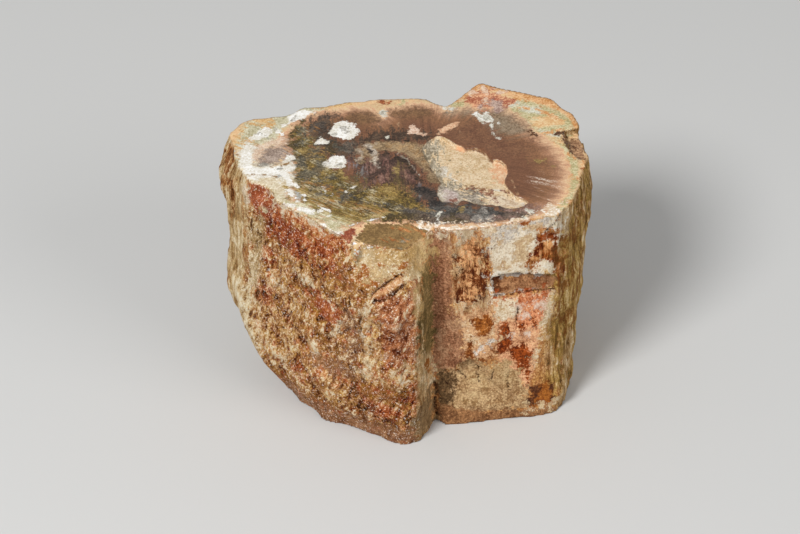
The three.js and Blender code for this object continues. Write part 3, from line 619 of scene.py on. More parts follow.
TOP_STAINS = {
    "white_back": stain("d3cfbe", "efece1", [(9.2, 22.4), (10.6, 22.2), (12, 20.4), (11.4, 19.4),
        (9.6, 20.2)], *ovals((-2.3, 19.6, 0.8, 1.6, 8)), soft=0.7, ragged=0.8),
    "smoky": stain("73644c", "a0917a", [(18, 20.2), (22, 19.2), (25.8, 14.8), (26.2, 11.2), (22, 10.8),
        (19.8, 12), (18.6, 15)], *ovals((13.4, 19.2, 3.4, 0.9)), soft=4, ragged=1, by="rays",
        strength=0.75),
    "brown_left_back": stain("60442c", "866442", *ovals((-6.2, 18.6, 4, 2.2), (3.5, 19.8, 4.4, 1.6)),
        soft=1.8, ragged=1, strength=0.8),
    "charcoal_back": stain("2b231b", "5a4a3a", [(-17.6, 19), (-13.4, 20), (-11, 18.4), (-12.6, 15),
        (-12, 11.4), (-9, 10.4), (-5.4, 12.4), (-3.6, 14.6), (0, 14.2), (4.6, 13.2), (8.4, 12.2),
        (7.4, 10.4), (4, 10.2), (-4, 10.8), (-8, 8.5), (-9, 5.5), (-13.5, 6.5), (-16, 9.5), (-17, 12),
        (-17.5, 15)], soft=2.2, ragged=1.8, by="upright", strength=0.85),
    "brown_right": stain("6c4732", "8c6446", [(10, 13), (13.6, 16), (17.4, 15.6), (18.6, 12), (21, 9.6),
        (27, 9.4), (26, 4), (21, 3), (17, 7), (14, 7)], soft=3, ragged=1.6, by="upright", strength=0.6),
    "bump_red": stain("a95c3e", "edb086", [(14.4, 21.6), (14.8, 24.6), (16.2, 26.6), (18, 27.2), (20, 26),
        (22.6, 24.4), (23.6, 22), (22, 20.2), (19.8, 19.4), (18, 20), (15.6, 19.8)], soft=1, ragged=1.4),
    "bump_white": stain("dcb99c", "f4d9bc", *ovals((21.6, 25.6, 1, 0.6), (15.6, 26, 0.5, 0.8)), *lines(0.7,
        [(17.8, 27.4), (18.6, 25), (18.4, 22.6)]), soft=0.7, ragged=1.2),
    "bump_grey": stain("9c8378", "cab4a8", [(18.6, 23), (19.6, 24), (21.4, 22.6), (21.6, 20), (20.2, 18.6),
        (19, 20)], *ovals((17, 20.8, 1, 0.9)), soft=1, ragged=1.2, strength=0.85),
    "bump_dots": stain("a85c42", "cc8664", *ovals((20.6, 23.4, 0.6, 0.5), (22.2, 21.8, 0.5, 0.6),
        (19.6, 24.6, 0.4, 0.4), (17.8, 19.6, 0.5, 0.5)), soft=0.6, ragged=0.8),
    "olive": stain("4c3b18", "877036", [(-21, 12), (-19.8, 17.6), (-18, 18.2), (-17.6, 14), (-15.5, 12.4),
        (-16, 9), (-13.4, 6.4), (-10, 1), (-8.6, -2), (-6, -4), (-1, -3), (2, -6), (5, -10), (9, -14.5),
        (6, -16.6), (-4, -14.6), (-10, -15.8), (-17, -11.5), (-19.8, -6), (-20.4, 0), (-19.5, 5)], soft=1.6,
        ragged=2),
    "olive_dark": stain("33290f", "5a4826", *ovals((-19.6, 10.5, 1.5, 3), (-17, 6, 0.9, 2.2, 20),
        (-16, -3.4, 3.4, 1.1, -35), (-9.2, -7, 2.6, 2.4), (-3, -11.4, 4, 1, 10), (-12.6, 8.6, 0.7, 1.6),
        (3.4, -9, 2.4, 0.9, -40), (0, -14, 3, 0.7, 6)), soft=1.8, ragged=3, strength=0.7),
    "olive_gold": stain("826434", "b09052", *ovals((-16.2, 6.6, 1.8, 1.6, 15), (-15.4, 1.8, 1.5, 2.4, 20),
        (-7.4, -9.8, 3.4, 1, -10), (-1.2, -5.6, 2.4, 1.6), (-18.6, 3.8, 0.8, 1.6),
        (-14.2, -7.8, 3, 0.8, -30), (-17.8, -4.6, 2.4, 0.6, -36), (-9, -12.6, 4, 0.8, -8),
        (3, -12.6, 3, 0.6, -20), (-4.6, -7, 1.2, 0.6)), soft=1.4, ragged=3, by="thread", strength=0.75),
    "green_gold": stain("8f7c46", "c4b07c", *ovals((-12.4, -13.4, 4.2, 1.3, -28),
        (-4.6, -13.6, 3.2, 0.5, 14), (-16.4, -9.6, 2.4, 0.8, -36)), soft=1.4, ragged=2.2, by="streak"),
    "orange_veil": stain("8f5f2c", "b9854a", *ovals((-16.4, 15.6, 0.6, 1.2), (4.4, -15.4, 2, 0.5, -10)),
        *lines(0.5, [(-17.6, -2), (-14, -3.6), (-11, -6)], [(-16, -8), (-12, -11)]), *lines(0.4, [(-13, -8),
        (-8, -10.6), (-3, -12.6)]), soft=1, ragged=1.8, by="streak", strength=0.7),
    "olive_lights": stain("8c8466", "cfc8ac", *lines(0.22, [(-20, -1), (-17, -3.4), (-14, -5)]),
        *lines(0.16, [(-18.6, 3), (-16.4, 1), (-15, -1.6)], [(-17, -6), (-13.4, -8.4), (-11, -9)],
        [(-19.6, 8), (-18.2, 5.4), (-17.6, 2)], [(-6, -8), (-2, -9.6), (1, -12)]), *lines(0.2, [(-12, -9.4),
        (-8, -11.4), (-4, -12.6)]), *lines(0.14, [(-16, 5), (-13.8, 2.8), (-12.4, 0)], [(-10.4, -3),
        (-8, -5), (-4.6, -5.4)], [(-18, 16), (-17.4, 12.6), (-17.8, 10)]), soft=0.4, ragged=1.6,
        by="thread", strength=0.6),
    "grey_wisps": stain("4a483f", "7d776c", *ovals((-17.4, 14.4, 0.9, 2.6, -12), (-15.2, 8.8, 1, 1.7, -25),
        (-14.6, 3.8, 0.5, 2.4, 6), (-17.6, 0.2, 2.4, 0.9, 12), (-13.4, -2.2, 1.5, 1, -35),
        (-10.2, -7, 0.8, 1.8, -10), (-18.6, 4.6, 0.8, 1.2, 10), (-4.4, -9.6, 1.8, 0.5, -20),
        (-15.2, -5.6, 1.8, 0.4, -35), (-9, 8.4, 1.2, 2.4, 30)), soft=1.4, ragged=2.6, strength=0.6),
    "slate": stain("332e27", "59514a", *ovals((-15.2, 16.6, 1.6, 1.8, -30), (-12.6, 19.3, 2.2, 0.8, 12),
        (-9.8, -6, 0.4, 1.4, -25), (-14.6, 11.4, 0.5, 1.4)), soft=1.4, ragged=2.2, strength=0.7),
    "drips": stain("3a2922", "64493c", [(-9, 6), (-6, 5), (-2, 7), (2, 5), (4, 1), (5, -4), (8, -7.5),
        (10, -10), (8, -12), (4, -8), (0, -4), (-3, -3), (-7, -4.5), (-8.5, 0)], soft=1.6, ragged=2.2,
        by="upright"),
    "drips_olive": stain("594828", "7d683a", *ovals((0.4, -1.6, 0.8, 3.4, 12), (-7, -1.6, 0.7, 2.4),
        (1.2, 2.4, 0.5, 1.8), (3, -5, 0.6, 2, 20)), soft=1.2, ragged=2, by="upright", strength=0.8),
    "rose_drips": stain("70463c", "a57f6f", *ovals((-8.8, 3, 0.6, 1.8, 10), (-5.2, 2.6, 0.5, 2.4),
        (-1.8, 1.6, 0.5, 2.4), (2.6, -2, 0.5, 3, 15), (-3, -2, 0.4, 1.4)), soft=1, ragged=1.8, by="upright",
        strength=0.65),
    "grey_drips": stain("66666a", "8b8a8b", *ovals((-7.6, 3.6, 0.4, 1.6), (-6.6, 0.6, 0.4, 1.6),
        (4.4, -6, 0.4, 1.6, 20)), soft=0.9, ragged=1.4, by="upright", strength=0.6),
    "front_ground": stain("443830", "6f6054", [(1, -11), (6, -13), (12, -12.6), (19, -12.8), (24, -13.4),
        (26.4, -14.6), (23.6, -16.2), (18, -17), (12, -17.2), (6, -16.8), (2, -15.4)], soft=1, ragged=0.9,
        strength=0.92),
    "charcoal_front": stain("241f1c", "4b4039", [(3, -6), (6.6, -4), (8, -9.5), (11, -11.5), (12.4, -10.2),
        (16, -12), (20, -12.6), (22, -14), (20, -16), (14, -15.4), (9, -13.4), (5, -11.4)], soft=1.8,
        ragged=1.8),
    "blue_front": stain("4c4a46", "85827a", *ovals((7.4, -13.2, 2.8, 0.9, -24),
        (13.6, -13.4, 2.2, 1.2, -14), (17, -14.6, 2, 1.6, -10), (10.6, -11.8, 1.6, 0.5, -5),
        (1.4, -12.4, 1.4, 0.4, -20)), soft=2.8, ragged=1.8, strength=0.75),
    "olive_front": stain("463820", "6e5c36", *ovals((10.4, -15.6, 2.4, 1, -8), (2, -14.2, 2.6, 0.7, -12)),
        soft=1.3, ragged=2, strength=0.8),
    "rose_front": stain("7c5c50", "ae8e7e", *ovals((21.4, -13.6, 1.6, 0.7, -12), (20, -15.6, 2.6, 0.6),
        (25.4, -13.2, 2, 0.8, 25)), soft=1.4, ragged=1.8, strength=0.8),
    "grey_front": stain("8d857b", "b9b0a6", *ovals((14.8, -15.6, 0.7, 1.4, 14), (17, -16.2, 0.5, 0.9),
        (16.2, -13.4, 0.3, 0.7)), soft=1.2, ragged=1.8, strength=0.75),
    "swirl": stain("735b3e", "a88e6c", [(-7.4, 3.4), (-7.4, 8.2), (-5.4, 10.7), (-1, 10.6), (3, 9.8),
        (5.4, 8.8), (6.6, 9.2), (8.4, 10.6), (9, 4), (9, -2), (8, -5), (6.2, -2.6), (5.2, 0.6), (3.6, 3.6),
        (2, 5.6), (0, 6.8), (-1.2, 7.4), (-3.4, 7.4), (-3.4, 3.4), (-3.8, 2.4), (-4.8, 5), (-5.6, 6.4),
        (-6.4, 3)], soft=1, ragged=0.9),
    "swirl_tan": stain("a07c52", "c8a67a", *ovals((5, 5.4, 1.2, 0.7), (3.2, 7.6, 2, 0.6, -10),
        (0.6, 8.8, 2.4, 0.6), (6.2, 2.6, 0.5, 1.8)), soft=1.4, ragged=2, strength=0.8),
    "swirl_light": stain("ab9d8c", "d8cabb", *ovals((-4.8, 8.4, 0.7, 1.2, 10)), *lines(0.7, [(-6.9, 4.6),
        (-6.8, 7.4), (-5.6, 9.6), (-4.2, 9.9)]), *lines(0.8, [(-4.3, 7.8), (-3.9, 5), (-3.8, 2.2)]),
        *lines(0.5, [(0.6, 6), (1.4, 5.2), (2.2, 3.6)]), soft=0.9, ragged=0.8, strength=0.85),
    "swirl_ridge": stain("8a785f", "e2d5c4", *lines(0.3, [(2, 4.2), (3, 1.8), (4.6, -1.4)]), soft=0.3,
        ragged=0.3),
    "swirl_dark": stain("2c1e14", "4e3a2a", *ovals((-2, 6.3, 0.8, 1), (-5.3, 7.8, 0.3, 0.9, 20),
        (6.6, 0.6, 0.3, 1.4, 15)), *lines(0.5, [(0.2, 5.4), (1.8, 3.6), (3, 0.6), (4.2, -2)]), *lines(0.6,
        [(2.5, 10.6), (-2, 11.2), (-5.2, 11.2)]), soft=0.6, ragged=0.8),
    "rose_grey": stain("8c786a", "b6a293", *ovals((-24.2, 7.4, 3.3, 3.6, -15)), soft=2.2, ragged=1.6,
        by="streak"),
    "rose_grey_edge": stain("cfae92", "ecd6be", *lines(1.6, [(-27.4, 6.4), (-26.8, 9), (-24.8, 11),
        (-22, 12)]), soft=1.8, ragged=1.6),
    "white_veil": stain("d8d0be", "f6f1e8", [(-30.2, 10), (-30.6, 4), (-28.5, -0.6), (-23, -1.8),
        (-21.2, -4.6), (-19.6, -5.8), (-20.4, -2), (-20.2, 2), (-20.6, 4.6), (-21.2, 5.6), (-22, 3.6),
        (-24.6, 3.8), (-27, 3), (-28.2, 6.4), (-27.6, 9.6), (-28.6, 11.4)], soft=1.2, ragged=1.6,
        by="flow"),
    "cream_pink": stain("d2c09e", "f0e4ca", *ovals((-25, -1.2, 3.2, 1.2), (-22.4, -3.4, 1.2, 1.6, 20),
        (-20.6, -1.4, 0.8, 1.4, 30)), soft=1.2, ragged=1.6),
    "ochre_front": stain("a8894c", "d5bb86", *ovals((-18.4, -5.2, 1.8, 0.5, -40), (-20.4, -6.4, 0.6, 1.2),
        (-21, -3.2, 0.4, 1, 30), (-19.2, -8.4, 0.8, 0.4)), soft=0.6, ragged=1, by="streak"),
    "sage_front": stain("b8ac82", "e8e1c2", [(-22.6, -8.6), (-19, -10.6), (-15, -13.6), (-13.2, -17),
        (-11, -17.4), (-10.4, -15), (-15, -11.6), (-18, -8.8), (-20.6, -7.6)], soft=1.2, ragged=2,
        by="streak"),
    "blue_veil": stain("a09d96", "c8c6c0", *ovals((-18.9, -6.4, 0.6, 1.8, 14), (-22.6, 0.6, 0.6, 0.3)),
        soft=0.6, ragged=0.8),
    "chalk": stain("e0d9ca", "fffdf8", [(-29.6, 8.8), (-30, 4.4), (-28.8, 1.4), (-24, 0.7), (-21, 1.7),
        (-19.4, 2.9), (-20.8, 4), (-23.6, 3.6), (-27, 3), (-28, 4.6), (-27.8, 8.2), (-28.6, 9.4)], [
        (-15.6, 10.8), (-14.9, 11.6), (-14.3, 12.8), (-13.4, 11), (-13.8, 10.5)], [(-13.6, 3.6), (-13, 5.8),
        (-11.6, 6.5), (-9.8, 6.4), (-9.9, 3.4), (-10.6, 2.2), (-12.2, 1.4)], [(-20.4, 22), (-19, 22.4),
        (-16, 21.6), (-15.8, 20.6), (-18.4, 19.2), (-20.8, 17.6), (-20.9, 19.6)], [(-28.2, 12.6),
        (-27.6, 14.4), (-25.8, 16.8), (-24.4, 17), (-24, 15.4), (-25, 13.4)], *ovals(
        (-9.9, 14.6, 2.7, 3.2, 6), (-20.5, 6.5, 0.6, 0.9)), *lines(0.45, [(-9.6, -5.4), (-8.8, -4.4),
        (-8, -3.8)]), *lines(0.7, [(-23.4, 14.4), (-22.4, 15.8), (-21.6, 17.4)], [(-14.6, -11),
        (-13.2, -13)], [(-16.6, -19.6), (-13.6, -18)]), *lines(0.4, [(-22.4, 13.6), (-21.6, 15.2)]),
        *lines(0.8, [(-21.4, 0.4), (-20, -2.4), (-18.8, -3.6)]), *lines(0.6, [(-20.2, -4), (-18.8, -8.6)],
        [(-22, -9), (-19.4, -9.2)]), *lines(1.2, [(-18.6, -10), (-16.2, -11.6)]), *lines(0.9,
        [(-14.6, -15.8), (-13, -17.8), (-10.8, -18.8)]), *lines(0.5, [(-29.2, 0), (-29, -2.4),
        (-28.8, -6)]), soft=0.3, ragged=0.7),
    "chalk_streaks": stain("efeae0", "ffffff", *lines(0.5, [(-29.6, 1.6), (-25, 2), (-21, 1)]), *lines(0.3,
        [(-22, 1), (-20.4, -1.4)], [(-21, -4), (-19.6, -7)], [(-17.8, -6), (-17.6, -8)], [(-14, -3.6),
        (-13.6, -5.8)]), *lines(0.25, [(-15, -9.6), (-12.8, -11.6)], [(-12.6, -5.6), (-12.2, -7.2)]),
        *lines(0.2, [(-6, -15), (-3, -14.2)]), soft=0.4, ragged=0.6, by="flow"),
    "chalk_grey": stain("8f8a80", "c2bcb0", *ovals((-10, 14.7, 0.7, 0.9, 20), (-8.6, 16, 0.5, 0.4),
        (-11.4, 13.2, 0.4, 0.5), (-26.6, 14.7, 0.5, 0.5), (-23.4, 16.2, 0.3, 0.5, -30),
        (-25, 12.9, 0.5, 0.2, -20), (-19.8, 19.4, 0.4, 0.8, -35), (-12.8, 4.2, 0.3, 0.5),
        (-11, 3.4, 0.4, 0.3), (-25.6, 4.3, 0.7, 0.25), (-22.4, 2.7, 0.6, 0.2, -10)), soft=0.5, ragged=0.9,
        strength=0.8),
    "gold_flecks": stain("8c7440", "c0a468", *ovals((-18.1, 8.3, 0.6, 0.5), (-1.6, -5.4, 0.8, 0.7),
        (0, 0.8, 0.35, 0.7), (-1, -8, 0.8, 0.3), (-13, 1.6, 0.5, 0.3), (-8, -3.4, 0.4, 0.2)), *lines(0.6,
        [(-11.4, 2.2), (-10.2, 0.4), (-9.8, -1.4)]), *lines(0.3, [(25.6, 2.6), (28, 1.9), (30, 0.4)]),
        *lines(0.2, [(12.2, -12), (12, -14)]), soft=0.7, ragged=1.2, strength=0.8),
    "thin_lines": stain("8c6c44", "b08a5c", *lines(0.16, [(-29, 1.2), (-25.6, 0.9), (-23, 0.4)],
        [(-23.2, 3.5), (-20.6, 4.3)]), *lines(0.14, [(-31.4, 13), (-30.6, 8), (-30.8, 4)]), soft=0.25,
        ragged=0.5),
    "heart_lines": stain("8f6a4c", "b48e6c", *lines(0.12, [(11.4, 15.6), (13, 12), (13.4, 9)], [(22, -4),
        (23, -9)]), *lines(0.1, [(1.2, 19), (0.6, 14)], [(-6.6, 12.6), (-4, 11)]), soft=0.3, ragged=0.4),
    "front_rim": stain("dcc2a0", "fffaf0", [(4, -16.3), (8, -17.3), (14, -17.5), (20, -17.3), (25, -15.6),
        (29, -12.8), (31, -13.4), (31, -16.2), (25, -20), (4, -21), (2, -18)], soft=0.5, ragged=2.6),
    "pink_flake": stain("c79f83", "ecd0b8", [(2.6, 13.5), (3.2, 15.4), (3.7, 16.1), (4, 14.9), (5.1, 14.5),
        (4.9, 13.2), (6.3, 12.6), (6.3, 11.8), (4.6, 12.4), (3, 12.5)], soft=0.3, ragged=0.6),
    "peach_flake": stain("cf9a74", "e8c09c", [(8.3, 12), (8.6, 13.6), (10.4, 15.7), (13.2, 16.1),
        (11.9, 14.3), (9.8, 12.4)], soft=0.5, ragged=0.6),
    "white_fan": stain("c2bca8", "faf7ef", [(15.4, 18.6), (16.4, 19.4), (17.2, 18.4), (18.2, 19.2),
        (19, 17.4), (20, 15.6), (18.8, 14.2), (17.4, 15.6), (16.2, 16.6)], *lines(0.22, [(18.7, 14.4),
        (19, 11.6), (20.3, 9.8)]), *lines(0.3, [(24.2, -13.4), (26.2, -14.4)]), *lines(0.1, [(8, -13),
        (7.4, -15), (7.2, -16.8)]), *lines(0.15, [(22.4, -14.4), (24, -16.2)]), *lines(0.2, [(20, 15.4),
        (20.8, 14.6)], [(-1.4, 12), (-1.8, 10.6)]), soft=0.3, ragged=0.7),
    "white_fan_gaps": stain("8c8674", "a8a28e", *lines(0.18, [(16.8, 18.6), (17.6, 17), (18.8, 15.4)]),
        *lines(0.15, [(17.8, 18.4), (18.6, 17)]), soft=0.25, ragged=0.4),
    "lens": stain("755a36", "94764a", [(-5.9, -15.9), (2, -16.2), (5.6, -17.8), (4.6, -20.6), (1, -22.4),
        (-3, -22), (-8.4, -19.6)], soft=0.3, ragged=0.4, by="streak"),
    "lens_rust": stain("9a5c2e", "c68a54", *lines(0.4, [(1.4, -16.8), (4.2, -18), (5.4, -19.6)]),
        *lines(0.3, [(-1, -17), (3, -18)]), *lines(0.2, [(-3, -19.4), (2, -20.4)]), soft=0.5, ragged=0.7,
        by="streak"),
    "lens_grey": stain("6c6858", "938c78", *ovals((1.2, -20.4, 1.5, 0.5, 12), (0.4, -21.8, 0.8, 0.2)),
        soft=0.7, ragged=1, strength=0.8),
    # Painted highlights: white lines along the lens's edges, as if catching the light
    "lens_white": stain("d6d6d6", "fbfbf8", *lines(0.4, [(-8.6, -20.1), (-6.4, -21.1), (-3.6, -22.2)]),
        *lines(0.25, [(-9.4, -16.2), (-6.2, -15.2), (-3.4, -14.2)]), soft=0.25, ragged=0.4),
    "wedge_red": stain("86402a", "bd7a56", [(-9.8, -19.6), (-6.2, -15.9), (-8.8, -17.2)], *ovals(
        (-9.4, -18.6, 0.6, 1, -30)), *lines(0.6, [(-13.4, -20), (-10.4, -19.2)]), soft=0.4, ragged=0.9),
    "notch_rust": stain("8c6444", "c89c74", [(32.6, 9.8), (33.6, 5.4), (35.4, 2.6), (37, 3), (37, 11),
        (34.6, 10.6)], soft=0.5, ragged=0.9, by="upright"),
    "notch_dark": stain("54361f", "7d5230", *ovals((35, 7.4, 0.3, 1.2, 20), (26.6, 11.4, 0.3, 0.9, 30)),
        *lines(0.5, [(32.9, 9.6), (33.4, 7.4), (34.2, 5.2)]), *lines(0.4, [(31.4, 10.8), (33.4, 11.3),
        (35.4, 10.8)]), soft=0.4, ragged=0.8),
}
CHIP_STAINS = {
    "chip_peach": stain("ecb68a", "fcd6ae", *ovals((20, -0.4, 1.6, 3.6), (12.4, 8, 1, 0.6)), soft=1.6,
        ragged=1.4),
    "chip_grey": stain("96876f", "d0c2aa", [(4.6, 8), (7, 11), (8.4, 10.4), (8, 6), (8.2, 2), (9.2, -2.6),
        (12, -5), (8, -4.6), (6, 1)], soft=1, ragged=2, by="upright"),
    "chip_slope": stain("8e8272", "c6b8a6", [(8, -4.8), (12, -4.8), (15.4, -7), (17, -11.4), (13, -9.8),
        (12, -10.6), (8.4, -10.4), (7.4, -6)], soft=1.2, ragged=2, by="streak"),
    "chip_rose": stain("c0aaa0", "e2d3c8", *ovals((9.9, -7.4, 1.6, 2.3, 20)), soft=0.8, ragged=0.8),
    "chip_white": stain("cfc0a8", "fcf7ec", *ovals((8.3, -7.2, 0.25, 1.3, 10)), *lines(0.6, [(9, 1.8),
        (9.8, -1), (11.2, -2.8)], [(19.2, -5.8), (20, -7.6)]), *lines(1, [(19.4, -9.2), (21.4, -9.6),
        (24, -10.8)]), *lines(0.4, [(11.2, -10.6), (11.2, -12.2)]), soft=0.7, ragged=1.8),
    "chip_tail": stain("d3b897", "f0dec4", [(17, -7), (20, -7.6), (22, -9), (24.6, -11.9), (20, -12),
        (17.6, -10.6)], soft=1, ragged=1.6),
    "chip_rust": stain("7c4128", "b5745a", *ovals((17.2, -7, 1.2, 0.7, -40), (18.6, -9.2, 0.3, 1, 20),
        (12.4, -12.9, 0.3, 0.3)), *lines(0.25, [(13.4, -5.4), (16.6, -6)]), *lines(0.2, [(20.2, -6),
        (21.2, -8.4)], [(10.8, -9), (11.4, -10.6)]), soft=0.5, ragged=1.8, strength=0.8),
    "chip_specks": stain("6f6148", "97886a", *ovals((9.2, 7, 0.2, 0.3), (10.4, 4.2, 0.25, 0.2),
        (9, 3, 0.2, 0.2), (11.6, 5.8, 0.2, 0.25), (10.2, 1.4, 0.2, 0.3), (11.8, 0.2, 0.3, 0.2),
        (13.6, 2.2, 0.2, 0.15), (9.6, 9, 0.25, 0.2), (14.2, -0.6, 0.2, 0.2), (12.6, 3.2, 0.15, 0.2),
        (15.6, -3, 0.2, 0.2)), soft=0.25, ragged=0.3),
}
WALL_TINTS = {
    "chalky": [*ovals((-18.6, 34.6, 1.8, 1.4), (-24.2, 29.6, 2.6, 1.9), (-6.2, 25, 1.4, 7),
        (-7.3, 16.8, 2, 1.5), (0.2, 18.2, 2.2, 1.3), (-15, 7.6, 1.8, 1.6), (-26, 16, 6, 6), (-31, 20, 2, 5),
        (-12.4, 24.8, 0.8, 1.8, -20), (-9, 44.4, 1.2, 2.2), (-17, 18.4, 1, 1), (-1, 4.8, 1.2, 1.4),
        (1.4, 39, 2, 1.6), (-21, 25, 2.6, 1.4), (-12, 9.4, 1.2, 1), (-22, 47, 1.6, 1.2)), *lines(1.2,
        [(-29.6, 47), (-30, 40), (-31, 33)]), *lines(1, [(-23, 46.6), (-12, 46.6)])],
    "umber": [[(-28, -1), (-28, 5.6), (-16, 4.8), (4, 4.6), (4, -1)], *ovals((-10.4, 39, 1.8, 2),
        (-22.6, 38.8, 4, 1.8, 8), (-9.8, 25, 1.4, 7), (-5, 12.8, 5, 1.8), (-26, 41, 2, 2),
        (-20.4, 42.4, 3.2, 1.5, -8), (-31, 41, 1.4, 4), (-6, 5, 7, 3), (-13, 21, 2, 3))],
    "rusty": [[(-5.4, 35.6), (2.6, 36.8), (2.4, 20.6), (-3.6, 20.6), (-3.8, 30)], *ovals(
        (-14, 43.4, 2.4, 2.6), (-20, 40.6, 8, 3.4, -10), (-14.4, 28.2, 3.2, 2.8, -20),
        (-26.8, 24.2, 1.9, 2.8), (-27, 34, 2.4, 3), (-26.6, 44.5, 2.8, 3.4), (-16.6, 31.4, 1.8, 1.2),
        (-20.8, 9.6, 1.1, 2.2), (-4.6, 8.6, 4, 1.8), (1.6, 12, 2.2, 3), (-11.6, 45.6, 2, 2),
        (2, 9.4, 1.2, 1)), *lines(2, [(-23, 45.4), (-12, 45.2)])],
}
